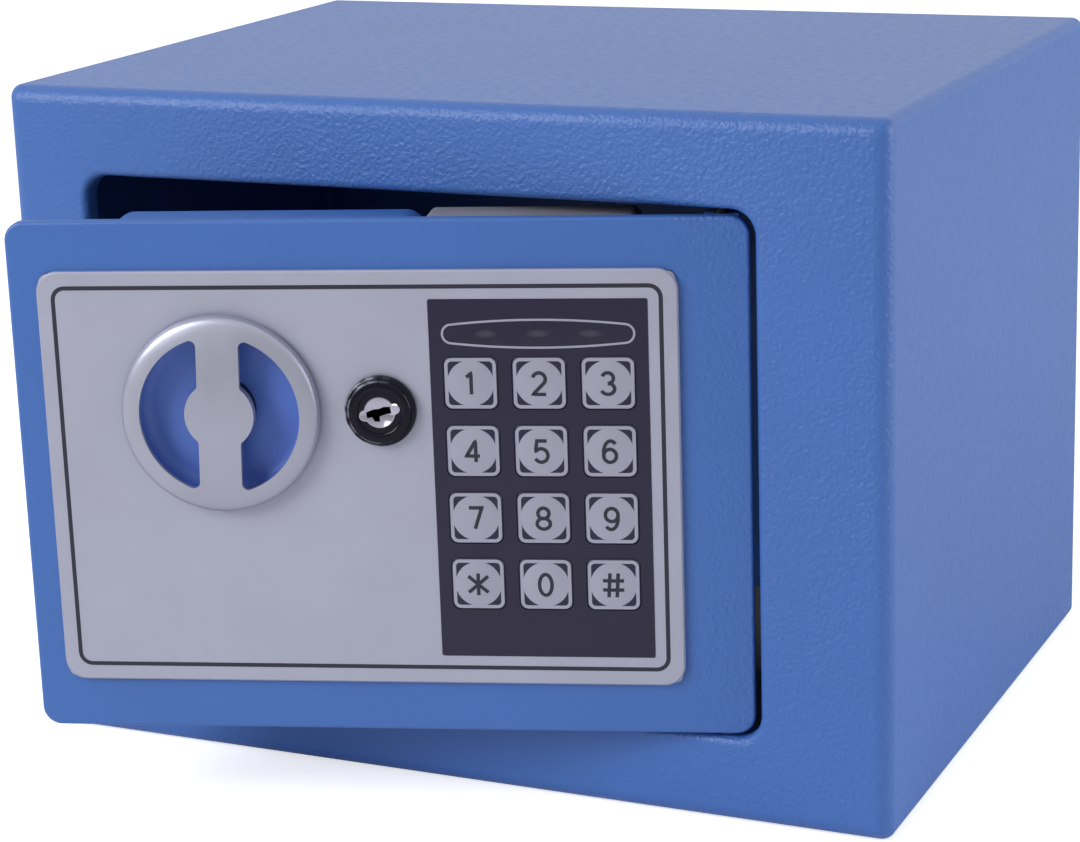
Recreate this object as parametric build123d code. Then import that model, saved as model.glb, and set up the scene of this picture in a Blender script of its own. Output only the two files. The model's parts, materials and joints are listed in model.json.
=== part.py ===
from build123d import *
import os
from math import cos, radians, sin

# Small electronic safe. Millimetres, +Z up, the front faces -Y.
# The origin is the middle of the base. The door is built shut and then swung
# to its resting place, a little open.

# How far a cut or a join runs past the face that it meets
PAST = 1.0

# Case
CASE_D = 170.0
SHEET = 1.2
FOLD_R = 3.0
FRONT_R = 4.0
JAMB_FREE = 21.65
JAMB_HINGE = 31.95
HEAD = 21.7
SILL = 21.5
OPENING_R = 6.0
LIP_DEPTH = 5.0
LIP_R = 2.0
WELD_GAP = 0.1
BACK_FLANGE = 10.0
TIGHT_R = 0.3
FIXING_R = 5.0
FIXING_PITCH = 120.0
MAT_T = 2.0
MAT_MARGIN = 3.0
MAT_HOLE_R = 8.0
MAT_CORNER_R = 5.0

# Hinge
PIN_R = 1.75
PIN_PLAY = 0.06
HINGE_INSET = 6.5
PIN_WALL = 0.25
PIN_STANDOUT = 1.5
EAR_W = 24.0
EAR_DEPTH = 10.0
HINGE_PLATE_T = 2.0
BLOCK_W = 8.0
BLOCK_H = 8.0
BLOCK_T = 5.0
BLOCK_BEVEL = 1.0
WASHER_R = 3.0
WASHER_PLAY = 0.1
AJAR = 17.4

# Door
GAP_FREE = 0.6
GAP_HINGE = 2.9
GAP_TOP = 1.6
GAP_BOTTOM = 0.9
DOOR_T = 3.0
DOOR_R = 4.5
DOOR_EDGE_R = 0.8

# Fascia, measured from the free edge and the bottom edge of the door
FASCIA_X = 7.15
FASCIA_Z = 12.45
FASCIA_TO_HINGE_EDGE = 16.2
FASCIA_TO_TOP_EDGE = 11.6
FASCIA_T = 1.5
FASCIA_R = 5.0
FASCIA_BEVEL = 0.4
LINE_INSET = 3.6
LINE_W = 0.7
LINE_DEPTH = 0.3
STUD_R = 2.0
STUD_PLAY = 0.15
STUD_INSET = 2.6

# Keypad
PAD_BELOW = 7.0
PAD_ABOVE = 6.75
PAD_BESIDE = 6.95
PAD_EDGE_X = 3.1
PAD_EDGE_Z = 8.15
PAD_R = 0.5
PAD_SEAT = 0.3
FILM_T = 0.45
KEY_PITCH_X = 15.9
KEY_PITCH_Z = 16.2
KEY_R = 1.8
KEY_PLAY = 0.1
KEY_RISE = 0.25
KEY_TRAVEL = 0.5
KEY_RIM = 0.7
KEY_RIM_T = 0.7
KEY_ROW_Z = 18.1
KEY_GAP_X = 3.3
WINDOW_INSET = 3.15
WINDOW_H = 6.6
WINDOW_END_H = 4.5
WINDOW_RISE = 0.1
WINDOW_RAISE = 11.65
LED_W = 5.2
LED_H = 1.9
LED_PITCH = 12.0
BAY_MARGIN = 1.2
RUBBER_T = 1.0
BOARD_T = 1.6
BOARD_PLAY = 0.1
BUZZER_R = 4.5
BUZZER_H = 0.9
BUZZER_INSET = 3.6
BUZZER_Z = 21.5

# Knob
KNOB_INSET = 19.0
KNOB_DROP = 33.5
KNOB_R = 23.5
KNOB_RING = 4.5
KNOB_RIM_T = 1.1
KNOB_T = 2.7
KNOB_FLAT = 1.5
BAR_W = 10.0
KNOB_SEAT = 1.5
NECK_R = 7.4
HUB_R = 8.2
GRIP_R = 1.5
HUB_CORNER_R = 0.8
CUP_R = 20.6
CUP_WALL = 0.8
CUP_CORNER_R = 3.5
CUP_RIM = 1.5
CUP_RIM_T = 0.6
CUP_PLAY = 0.3
SHAFT_R = 4.0
SHAFT_END_R = 3.0
BORE_PLAY = 0.06
BEARING_T = 2.0
BEARING_MARGIN = 1.5
BEARING_CLEAR = 1.0
SLEEVE_R = 6.5
SLEEVE_L = 3.6

# Override lock
KNOB_TO_LOCK = 5.75
LOCK_TO_PAD = 3.45
LOCK_RAISE = 0.5
BEZEL_R = 8.4
BEZEL_H = 2.8
BEZEL_BEVEL = 1.3
BEZEL_DISH = 0.5
BARREL_R = 6.2
PLUG_R = 3.6
PLUG_SINK = 0.8
PLUG_SET_BACK = 0.2
PLUG_EAR_REACH = 4.8
PLUG_EAR_W = 2.6
KEYWAY_W = 1.3
KEYWAY_H = 5.6
KEYWAY_DEPTH = 9.0
KEYWAY_TILT = 20.0
NUT_AF = 15.0
NUT_TURN = 30.0
NUT_T = 3.0
CAM_R = 8.0
CAM_THROW = 5.0
CAM_T = 2.0

# Bolt work
BOLT_R = 7.0
BOLT_DEPTH = 12.0
BOLT_EDGE = 18.0
BOLT_TIP_INSET = 1.5
BOLT_TAIL = 9.8
BOLT_CHAMFER = 1.2
BOLT_TRAVEL = 12.0
BOLT_FLAT = 3.5
CARRIAGE_T = 2.0
CARRIAGE_W = 25.5
CARRIAGE_REACH = 3.0
TAIL_DROP = 1.0
TAIL_H = 9.0
CRANK_T = 2.0
CRANK_START = 45.0
CRANK_SCREW_R = 4.0
CRANK_BOSS_R = 5.8
CRANK_EYE_R = 3.6
CRANK_PIN_R = 2.0
CRANK_PIN_PROUD = 0.4
CRANK_PLAY = 0.35
GUIDE_T = 1.5
GUIDE_FOOT = 9.0
GUIDE_CLEAR = 0.6
GUIDE_MARGIN = 1.0
RIVET_R = 2.0
RIVET_HEAD_R = 3.2
RIVET_HEAD_T = 1.1
STUD_DROP = 35.6
GUIDE_STUD_R = 2.0
GUIDE_STUD_BASE_R = 3.5
GUIDE_STUD_HEAD_R = 3.6
SLOT_PLAY = 0.15
RUN_CLEAR = 0.3

# Solenoid and its plunger
PLUNGER_OFFSET = 1.5
PLUNGER_R = 2.5
PLUNGER_STROKE = 5.0
HEAD_W = 6.0
HEAD_H = 5.8
TOOTH_W = 2.2
TOOTH_CLEAR = 0.5
HEAD_BEVEL = 1.0
COIL_W = 16.0
COIL_H = 20.0
COIL_T = 13.4
COIL_R = 5.6
FRAME_T = 1.6
COIL_LIFT = 6.0

# Cover over the bolt work, and the box behind the keypad
COVER_X = 21.5
COVER_EDGE = 1.6
COVER_DEPTH = 21.5
COVER_SHEET = 1.0
COVER_R = 5.0
COVER_BACK_R = 2.0
BOLT_HOLE_PLAY = 0.6
POST_R = 2.0
POST_INSET = 5.0
SCREW_HEAD_R = 2.6
SCREW_HEAD_T = 1.4
SCREW_BEVEL = 0.7
SCREW_R = 1.25
BOX_INSET = 2.4
BOX_GAP = 0.3
BOX_SIDE_ROOM = 17.1
BOX_DEPTH = 22.7
BOX_WALL = 1.8
BOX_R = 2.0
BOX_EDGE_R = 1.0
BOX_END = 12.6
BAY_FLOOR_T = 0.9
CELL_R = 7.1
CELL_L = 50.0
CELL_TIP_R = 2.6
CELL_TIP_H = 1.2
CELL_BEVEL = 0.5
CELL_PLAY = 0.3
CONTACT_T = 0.5
SPRING_H = 2.6
SPRING_R = 3.6
SPRING_TIP_R = 2.2
CONTACT_HALF = 5.7
LID_T = 1.6
LID_LAP = 1.2
LID_PLAY = 0.15
LID_R = 1.0
LID_GROOVES = 5
LID_GROOVE_PITCH = 2.4
LID_GROOVE_W = 1.2
LID_GROOVE_L = 14.0
LID_GROOVE_DEPTH = 0.5
LID_GROOVE_INSET = 8.0
BOX_SCREW_INSET = 4.2
RESET_R = 3.0
RESET_PROUD = 1.6
RESET_TRAVEL = 1.2
RESET_RIM = 1.4
RESET_RIM_T = 0.8
RESET_BEVEL = 0.6
RESET_STEM_R = 1.2

# Sizes and places on the door that follow: the row of knob, lock and keys sets its width
KEY_SIZE = min(KEY_PITCH_X, KEY_PITCH_Z) - KEY_GAP_X
PAD_W = 2 * KEY_PITCH_X + KEY_SIZE + 2 * PAD_EDGE_X
WINDOW_W = PAD_W - 2 * WINDOW_INSET
WINDOW_Z = KEY_ROW_Z + 3 * KEY_PITCH_Z + WINDOW_RAISE
PAD_H = WINDOW_Z + PAD_EDGE_Z
PAD_Z = FASCIA_Z + PAD_BELOW
KNOB_X = FASCIA_X + KNOB_INSET + KNOB_R
LOCK_X = KNOB_X + KNOB_R + KNOB_TO_LOCK + BEZEL_R
PAD_X = LOCK_X + BEZEL_R + LOCK_TO_PAD
FASCIA_W = PAD_X + PAD_W + PAD_BESIDE - FASCIA_X
FASCIA_H = PAD_BELOW + PAD_H + PAD_ABOVE
KNOB_Z = FASCIA_Z + FASCIA_H - KNOB_DROP
LOCK_Z = KNOB_Z + LOCK_RAISE
DOOR_W = FASCIA_X + FASCIA_W + FASCIA_TO_HINGE_EDGE
DOOR_H = FASCIA_Z + FASCIA_H + FASCIA_TO_TOP_EDGE
BEARING_SIZE = 2 * (KNOB_R + BEARING_MARGIN)
BOX_X = PAD_X - BOX_INSET
BOX_W = 2 * BOX_WALL + 4 * CELL_R + 3 * CELL_PLAY + BOX_SIDE_ROOM

# Width and height of the case round the door
CASE_W = JAMB_FREE + GAP_FREE + DOOR_W + GAP_HINGE + JAMB_HINGE
CASE_H = SILL + GAP_BOTTOM + DOOR_H + GAP_TOP + HEAD
BACK_FIXING_Z = CASE_H / 2

# Planes and edges that follow from the sizes above
FRONT_Y = -CASE_D / 2
OPEN_X0 = -CASE_W / 2 + JAMB_FREE
OPEN_X1 = CASE_W / 2 - JAMB_HINGE
OPEN_Z0 = SILL
OPEN_Z1 = CASE_H - HEAD
DOOR_X0 = OPEN_X0 + GAP_FREE
DOOR_X1 = OPEN_X1 - GAP_HINGE
DOOR_Z0 = OPEN_Z0 + GAP_BOTTOM
DOOR_Z1 = OPEN_Z1 - GAP_TOP
DOOR_BACK = FRONT_Y + DOOR_T
HINGE_X = DOOR_X1 - HINGE_INSET
HINGE_Y = DOOR_BACK + PIN_R + PIN_WALL
EAR_X0 = HINGE_X - EAR_W / 2
EAR_X1 = min(HINGE_X + EAR_W / 2, OPEN_X1 - OPENING_R / 2)
FASCIA_Y = FRONT_Y - FASCIA_T
FASCIA_X0 = DOOR_X0 + FASCIA_X
FASCIA_X1 = FASCIA_X0 + FASCIA_W
FASCIA_Z0 = DOOR_Z0 + FASCIA_Z
FASCIA_Z1 = FASCIA_Z0 + FASCIA_H
FILM_BACK = FASCIA_Y + PAD_SEAT
FILM_Y = FILM_BACK - FILM_T
PAD_X0 = DOOR_X0 + PAD_X
PAD_X1 = PAD_X0 + PAD_W
PAD_Z0 = DOOR_Z0 + PAD_Z
PAD_Z1 = PAD_Z0 + PAD_H
PAD_CX = (PAD_X0 + PAD_X1) / 2
WINDOW_CZ = PAD_Z0 + WINDOW_Z
KEY_Y = FILM_Y - KEY_RISE
KEY_RIM_Y = FRONT_Y + KEY_PLAY
KEY_BACK = KEY_RIM_Y + KEY_RIM_T
RUBBER_Y = KEY_BACK + KEY_TRAVEL + KEY_PLAY
BOARD_Y = RUBBER_Y + RUBBER_T + BOARD_PLAY
BOARD_BACK = BOARD_Y + BOARD_T
KNOB_CX = DOOR_X0 + KNOB_X
KNOB_CZ = DOOR_Z0 + KNOB_Z
CUP_FLOOR = DOOR_BACK - CUP_WALL
CUP_RIM_Y = FASCIA_Y - CUP_RIM_T
KNOB_BACK = CUP_RIM_Y - CUP_PLAY
KNOB_FRONT = KNOB_BACK - KNOB_T
SLEEVE_END = DOOR_BACK + BEARING_T + SLEEVE_L
BOLT_Y = FRONT_Y + BOLT_DEPTH
CARRIAGE_Y = BOLT_Y + BOLT_FLAT
CARRIAGE_BACK = CARRIAGE_Y + CARRIAGE_T
CRANK_Y = SLEEVE_END + RUN_CLEAR
CRANK_BACK = CRANK_Y + CRANK_T
CRANK_THROW = BOLT_TRAVEL / 2 / sin(radians(CRANK_START))
BOLT_X0 = DOOR_X0 + BOLT_TIP_INSET
DOOR_CZ = (DOOR_Z0 + DOOR_Z1) / 2
BOLT_RISE = DOOR_H / 2 - BOLT_EDGE
STUD_Z = KNOB_CZ - STUD_DROP
COVER_X0 = DOOR_X0 + COVER_X
COVER_BACK = FRONT_Y + COVER_DEPTH
COVER_INSIDE = COVER_BACK - COVER_SHEET
COVER_Z0 = DOOR_Z0 + COVER_EDGE
COVER_Z1 = DOOR_Z1 - COVER_EDGE
BOX_X0 = DOOR_X0 + BOX_X
BOX_X1 = BOX_X0 + BOX_W
BOX_BACK = FRONT_Y + BOX_DEPTH
COVER_X1 = BOX_X0 - BOX_GAP
GUIDE_X0 = COVER_X0 + COVER_SHEET + WELD_GAP
GUIDE_X1 = GUIDE_X0 + GUIDE_T
CARRIAGE_X0 = GUIDE_X1 + GUIDE_CLEAR + BOLT_TRAVEL
BOLT_X1 = CARRIAGE_X0 + BOLT_TAIL
LOCK_CX = DOOR_X0 + LOCK_X
LOCK_CZ = DOOR_Z0 + LOCK_Z
BEZEL_Y = FASCIA_Y - BEZEL_H
CAM_BACK = CARRIAGE_Y - RUN_CLEAR - CRANK_PIN_PROUD
CAM_Y = CAM_BACK - CAM_T
BARREL_BACK = CAM_Y - RUN_CLEAR
PLUNGER_X = LOCK_CX - PLUNGER_OFFSET
PLUNGER_TOP = LOCK_CZ - CAM_R - CAM_THROW - TOOTH_CLEAR
TAIL_Z0 = PLUNGER_TOP + PLUNGER_STROKE + TAIL_DROP - TOOTH_CLEAR / 2
TOOTH_X1 = PLUNGER_X - HEAD_W / 2 - TOOTH_CLEAR + BOLT_TRAVEL
COIL_Y = DOOR_BACK + WELD_GAP
COIL_CY = COIL_Y + COIL_T / 2
COIL_Z1 = PLUNGER_TOP - HEAD_H - RUN_CLEAR
KEY_NAMES = (("key_1", "key_2", "key_3"), ("key_4", "key_5", "key_6"),
             ("key_7", "key_8", "key_9"), ("key_star", "key_0", "key_hash"))


def block(x0, x1, y0, y1, z0, z1):
    """Box between two opposite corners."""
    centre = Pos((x0 + x1) / 2, (y0 + y1) / 2, (z0 + z1) / 2)
    return centre * Box(x1 - x0, y1 - y0, z1 - z0)


def slab(profile, y0, y1):
    """A profile drawn on the front, X to the right and Z up, as a slab from y0 back to y1."""
    face_plane = Plane(origin=(0, y1, 0), x_dir=(1, 0, 0), z_dir=(0, -1, 0))
    return extrude(face_plane * profile, amount=y1 - y0)


def rounded(x0, x1, z0, z1, radius):
    return Pos((x0 + x1) / 2, (z0 + z1) / 2) * RectangleRounded(x1 - x0, z1 - z0, radius)


def disc(cx, cz, radius, y0, y1):
    return slab(Pos(cx, cz) * Circle(radius), y0, y1)


def pillar(cx, cy, radius, z0, z1):
    return Pos(cx, cy, (z0 + z1) / 2) * Cylinder(radius, z1 - z0)


def turned(cx, cz, outline):
    """Solid turned about the line through cx, cz along Y, from points of radius and y."""
    section = make_face(Polyline(*[(radius, y) for radius, y in outline], close=True))
    spun = revolve(section, axis=Axis.Y, revolution_arc=360)
    return Pos(cx, 0, cz) * spun


def swung(piece):
    """A piece of the shut door, carried to where the door stands ajar."""
    about = Pos(HINGE_X, HINGE_Y, 0)
    return about * Rot(0, 0, AJAR) * about.inverse() * piece


def case_block(inset, y1):
    """The case's outer form, drawn in by the thickness of its sheet."""
    half = CASE_W / 2 - inset
    body = block(-half, half, FRONT_Y + inset, y1, inset, CASE_H - inset)
    body = fillet(body.edges().filter_by(Axis.Y), max(FOLD_R - inset, TIGHT_R))
    return fillet(body.faces().sort_by(Axis.Y)[0].edges(), max(FRONT_R - inset, TIGHT_R))


def opening_profile(grow):
    """The doorway, drawn larger by grow on every side."""
    return rounded(OPEN_X0 - grow, OPEN_X1 + grow, OPEN_Z0 - grow, OPEN_Z1 + grow, OPENING_R + grow)


def lip_root(shell):
    """Edges where the rolled lip leaves the back of the front frame."""
    backs = [face for face in shell.faces().filter_by(Plane.XZ)
             if abs(face.center().Y - FRONT_Y - SHEET) < TIGHT_R]
    return backs[0].inner_wires()[0].edges()


def case_shell():
    """Wrapped sheet with its front frame, the rolled lip of the doorway and the hinge ears."""
    shell = case_block(0, CASE_D / 2) - case_block(SHEET, CASE_D / 2 + PAST)
    shell += slab(opening_profile(SHEET), FRONT_Y, FRONT_Y + LIP_DEPTH)
    shell = fillet(lip_root(shell), max(LIP_R - SHEET, TIGHT_R))
    shell -= slab(opening_profile(0), FRONT_Y - PAST, FRONT_Y + LIP_DEPTH + PAST)
    front = shell.faces().sort_by(Axis.Y)[0]
    shell = fillet(front.inner_wires()[0].edges(), LIP_R)
    for z0 in (OPEN_Z0 - SHEET, OPEN_Z1):
        shell += block(EAR_X0, EAR_X1, FRONT_Y + LIP_R, FRONT_Y + EAR_DEPTH, z0, z0 + SHEET)
    shell -= pillar(HINGE_X, HINGE_Y, PIN_R + PIN_PLAY, OPEN_Z0 - SHEET - PAST, OPEN_Z1 + SHEET + PAST)
    for side in (-1, 1):
        shell -= pillar(side * FIXING_PITCH / 2, 0, FIXING_R, -PAST, SHEET + PAST)
    return shell


def back_panel():
    """Tray welded into the back of the wrap, its flange turned forwards."""
    half = CASE_W / 2 - SHEET - WELD_GAP
    edge = SHEET + WELD_GAP
    radius = max(FOLD_R - edge, TIGHT_R)
    back_y = CASE_D / 2
    tray = slab(rounded(-half, half, edge, CASE_H - edge, radius), back_y - BACK_FLANGE, back_y)
    inner = half - SHEET
    inner_r = max(radius - SHEET, TIGHT_R)
    pocket = rounded(-inner, inner, edge + SHEET, CASE_H - edge - SHEET, inner_r)
    tray -= slab(pocket, back_y - BACK_FLANGE - PAST, back_y - SHEET)
    for side in (-1, 1):
        tray -= disc(side * FIXING_PITCH / 2, BACK_FIXING_Z, FIXING_R, back_y - SHEET - PAST, back_y + PAST)
    return tray


def floor_mat():
    """Felt mat on the floor, cut round the two floor fixings."""
    half = CASE_W / 2 - SHEET - MAT_MARGIN
    y0 = FRONT_Y + SHEET + MAT_MARGIN
    y1 = CASE_D / 2 - BACK_FLANGE - MAT_MARGIN
    mat = block(-half, half, y0, y1, SHEET, SHEET + MAT_T)
    mat = fillet(mat.edges().filter_by(Axis.Z), MAT_CORNER_R)
    for side in (-1, 1):
        mat -= pillar(side * FIXING_PITCH / 2, 0, MAT_HOLE_R, 0, SHEET + MAT_T + PAST)
    return mat


def hinge_plate(z0):
    """Stiffener welded to an ear, bored for the hinge pin."""
    y0 = FRONT_Y + LIP_R + RUN_CLEAR
    plate = block(EAR_X0, EAR_X1, y0, FRONT_Y + EAR_DEPTH, z0, z0 + HINGE_PLATE_T)
    return plate - pillar(HINGE_X, HINGE_Y, PIN_R + PIN_PLAY, z0 - PAST, z0 + HINGE_PLATE_T + PAST)


def hinge_washer():
    """Washer on the lower pin that carries the weight of the door."""
    top = DOOR_Z0 - WASHER_PLAY
    ring = pillar(HINGE_X, HINGE_Y, WASHER_R, OPEN_Z0, top)
    return ring - pillar(HINGE_X, HINGE_Y, PIN_R + PIN_PLAY, OPEN_Z0 - PAST, top + PAST)


def hinge_block(z0):
    """Steel block welded to the back of the door, bored for its pin."""
    x0 = HINGE_X - BLOCK_W / 2
    body = block(x0, x0 + BLOCK_W, DOOR_BACK, DOOR_BACK + BLOCK_T, z0, z0 + BLOCK_H)
    body = chamfer(body.edges().filter_by(Axis.Z).sort_by(Axis.Y)[-2:], BLOCK_BEVEL)
    return body - pillar(HINGE_X, HINGE_Y, PIN_R, z0 - PAST, z0 + BLOCK_H + PAST)


def hinge_pin(z0, z1):
    """Pin pressed into its block, standing out through the ear and its stiffener."""
    return pillar(HINGE_X, HINGE_Y, PIN_R, z0, z1)


def fascia_studs():
    """Places of the four studs that hold the fascia."""
    x0 = FASCIA_X0 + STUD_INSET
    x1 = FASCIA_X1 - STUD_INSET
    z0 = FASCIA_Z0 + STUD_INSET
    z1 = FASCIA_Z1 - STUD_INSET
    return [(x0, z0), (x1, z0), (x0, z1), (x1, z1)]


def key_bay_profile():
    """Window in the door plate behind the keypad."""
    edge = BAY_MARGIN
    return rounded(PAD_X0 + edge, PAD_X1 - edge, PAD_Z0 + edge, PAD_Z1 - edge, PAD_R)


def door_plate():
    """Thick front plate, cut out for the dish, the lock, the keypad and the fascia's studs."""
    plate = slab(rounded(DOOR_X0, DOOR_X1, DOOR_Z0, DOOR_Z1, DOOR_R), FRONT_Y, DOOR_BACK)
    plate = fillet(plate.faces().sort_by(Axis.Y)[0].edges(), DOOR_EDGE_R)
    y0 = FRONT_Y - PAST
    y1 = DOOR_BACK + PAST
    plate -= disc(KNOB_CX, KNOB_CZ, CUP_R + CUP_WALL + CUP_PLAY, y0, y1)
    plate -= disc(LOCK_CX, LOCK_CZ, BARREL_R + STUD_PLAY, y0, y1)
    plate -= slab(key_bay_profile(), y0, y1)
    for x, z in fascia_studs():
        plate -= disc(x, z, STUD_R + STUD_PLAY, y0, y1)
    return plate


def key_places():
    """Name and centre of each key, row by row from the top left."""
    places = []
    for row, names in enumerate(KEY_NAMES):
        for column, name in enumerate(names):
            x = PAD_CX + (column - 1) * KEY_PITCH_X
            z = PAD_Z0 + KEY_ROW_Z + (3 - row) * KEY_PITCH_Z
            places.append((name, x, z))
    return places


def key_profile(x, z, grow):
    half = KEY_SIZE / 2 + grow
    return rounded(x - half, x + half, z - half, z + half, KEY_R + grow)


def window_profile(grow):
    """Long lens with rounded ends, wider in the middle than at its ends."""
    half_w = WINDOW_W / 2 + grow
    half_h = WINDOW_H / 2 + grow
    end_h = WINDOW_END_H / 2 + grow
    shoulder = half_w - end_h
    top = ThreePointArc((-shoulder, end_h), (0, half_h), (shoulder, end_h))
    right = ThreePointArc((shoulder, end_h), (half_w, 0), (shoulder, -end_h))
    bottom = ThreePointArc((shoulder, -end_h), (0, -half_h), (-shoulder, -end_h))
    left = ThreePointArc((-shoulder, -end_h), (-half_w, 0), (-shoulder, end_h))
    return Pos(PAD_CX, WINDOW_CZ) * make_face([top, right, bottom, left])


def led_profile(index, grow):
    x = PAD_CX + (index - 1) * LED_PITCH
    return Pos(x, WINDOW_CZ) * SlotOverall(LED_W + 2 * grow, LED_H + 2 * grow)


def fascia():
    """Moulded front plate: windows, a sunk seat for the film, a fine line near its edge."""
    outline = rounded(FASCIA_X0, FASCIA_X1, FASCIA_Z0, FASCIA_Z1, FASCIA_R)
    plate = slab(outline, FASCIA_Y, FRONT_Y)
    plate = chamfer(plate.faces().sort_by(Axis.Y)[0].edges(), FASCIA_BEVEL)
    ring_r = FASCIA_R - LINE_INSET / 2
    outer = rounded(FASCIA_X0 + LINE_INSET, FASCIA_X1 - LINE_INSET,
                    FASCIA_Z0 + LINE_INSET, FASCIA_Z1 - LINE_INSET, ring_r)
    inset = LINE_INSET + LINE_W
    inner = rounded(FASCIA_X0 + inset, FASCIA_X1 - inset,
                    FASCIA_Z0 + inset, FASCIA_Z1 - inset, ring_r - LINE_W)
    plate -= slab(outer - inner, FASCIA_Y - PAST, FASCIA_Y + LINE_DEPTH)
    seat = rounded(PAD_X0, PAD_X1, PAD_Z0, PAD_Z1, PAD_R)
    plate -= slab(seat, FASCIA_Y - PAST, FILM_BACK)
    for _, x, z in key_places():
        plate -= slab(key_profile(x, z, KEY_PLAY), FASCIA_Y - PAST, FRONT_Y + PAST)
    for index in range(3):
        plate -= slab(led_profile(index, KEY_PLAY), FASCIA_Y - PAST, FRONT_Y + PAST)
    plate -= disc(KNOB_CX, KNOB_CZ, CUP_R + CUP_WALL + CUP_PLAY, FASCIA_Y - PAST, FRONT_Y + PAST)
    plate -= disc(LOCK_CX, LOCK_CZ, BARREL_R + STUD_PLAY, FASCIA_Y - PAST, FRONT_Y + PAST)
    for x, z in fascia_studs():
        plate += disc(x, z, STUD_R, FRONT_Y - FASCIA_T / 2, DOOR_BACK)
    return plate


def keypad_film():
    """Printed film on the fascia, open round each key and the lamp window."""
    outline = rounded(PAD_X0 + KEY_PLAY, PAD_X1 - KEY_PLAY, PAD_Z0 + KEY_PLAY, PAD_Z1 - KEY_PLAY, PAD_R)
    film = slab(outline, FILM_Y, FILM_BACK)
    for _, x, z in key_places():
        film -= slab(key_profile(x, z, KEY_PLAY), FILM_Y - PAST, FILM_BACK + PAST)
    return film - slab(window_profile(0), FILM_Y - PAST, FILM_BACK + PAST)


def lamp_window():
    """Smoked lens that fills the film's opening and stands just proud of it."""
    return slab(window_profile(-KEY_PLAY / 2), FILM_Y - WINDOW_RISE, FILM_BACK)


def lamps():
    """Three flat lamps that stand on the board and reach up behind the window."""
    row = [slab(led_profile(index, 0), FILM_BACK + KEY_PLAY, BOARD_Y) for index in range(3)]
    return Compound(row)


def key(x, z):
    """Key with a thin rim behind the fascia that keeps it from falling out."""
    cap = slab(key_profile(x, z, 0), KEY_Y, KEY_BACK)
    cap = chamfer(cap.faces().sort_by(Axis.Y)[0].edges(), KEY_RISE)
    return cap + slab(key_profile(x, z, KEY_RIM), KEY_RIM_Y, KEY_BACK)


def bay_sheet(y0, y1):
    """Sheet that fits both the window in the door plate and the inside of the box behind it."""
    edge = BAY_MARGIN + STUD_PLAY
    x0 = max(PAD_X0 + edge, BOX_X0 + BOX_WALL + STUD_PLAY)
    x1 = min(PAD_X1 - edge, BOX_X1 - BOX_WALL - STUD_PLAY)
    return slab(rounded(x0, x1, PAD_Z0 + edge, PAD_Z1 - edge, PAD_R), y0, y1)


def rubber_mat():
    """Rubber sheet under the keys, open for the lamps."""
    mat = bay_sheet(RUBBER_Y, RUBBER_Y + RUBBER_T)
    for index in range(3):
        mat -= slab(led_profile(index, KEY_PLAY), RUBBER_Y - PAST, RUBBER_Y + RUBBER_T + PAST)
    return mat


def circuit_board():
    """Board with a flat buzzer on its back."""
    board = bay_sheet(BOARD_Y, BOARD_BACK)
    buzzer_x = BOX_X1 - BUZZER_INSET - BUZZER_R
    return board + disc(buzzer_x, PAD_Z0 + BUZZER_Z, BUZZER_R, BOARD_Y, BOARD_BACK + BUZZER_H)


def knob_cup():
    """Pressed dish behind the knob, its rim on the fascia."""
    inside = CUP_FLOOR - CUP_CORNER_R
    outside_r = CUP_R + CUP_WALL
    section = make_face([
        Line((0, CUP_FLOOR), (CUP_R - CUP_CORNER_R, CUP_FLOOR)),
        RadiusArc((CUP_R - CUP_CORNER_R, CUP_FLOOR), (CUP_R, inside), CUP_CORNER_R),
        Line((CUP_R, inside), (CUP_R, CUP_RIM_Y)),
        Line((CUP_R, CUP_RIM_Y), (outside_r + CUP_RIM, CUP_RIM_Y)),
        Line((outside_r + CUP_RIM, CUP_RIM_Y), (outside_r + CUP_RIM, FASCIA_Y)),
        Line((outside_r + CUP_RIM, FASCIA_Y), (outside_r, FASCIA_Y)),
        Line((outside_r, FASCIA_Y), (outside_r, DOOR_BACK)),
        Line((outside_r, DOOR_BACK), (0, DOOR_BACK)),
        Line((0, DOOR_BACK), (0, CUP_FLOOR))])
    cup = Pos(KNOB_CX, 0, KNOB_CZ) * revolve(section, axis=Axis.Y, revolution_arc=360)
    return cup - disc(KNOB_CX, KNOB_CZ, SHAFT_R + CUP_PLAY, CUP_FLOOR - PAST, DOOR_BACK + PAST)


def shaft_bearing():
    """Plate welded behind the dish, with the sleeve that carries the knob's shaft."""
    half = BEARING_SIZE / 2
    outline = rounded(KNOB_CX - half, KNOB_CX + half, KNOB_CZ - half, KNOB_CZ + half, DOOR_R)
    plate = slab(outline, DOOR_BACK, DOOR_BACK + BEARING_T)
    plate += disc(KNOB_CX, KNOB_CZ, SLEEVE_R, DOOR_BACK, SLEEVE_END)
    return plate - disc(KNOB_CX, KNOB_CZ, SHAFT_R + BORE_PLAY, DOOR_BACK - PAST, SLEEVE_END + PAST)


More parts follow.
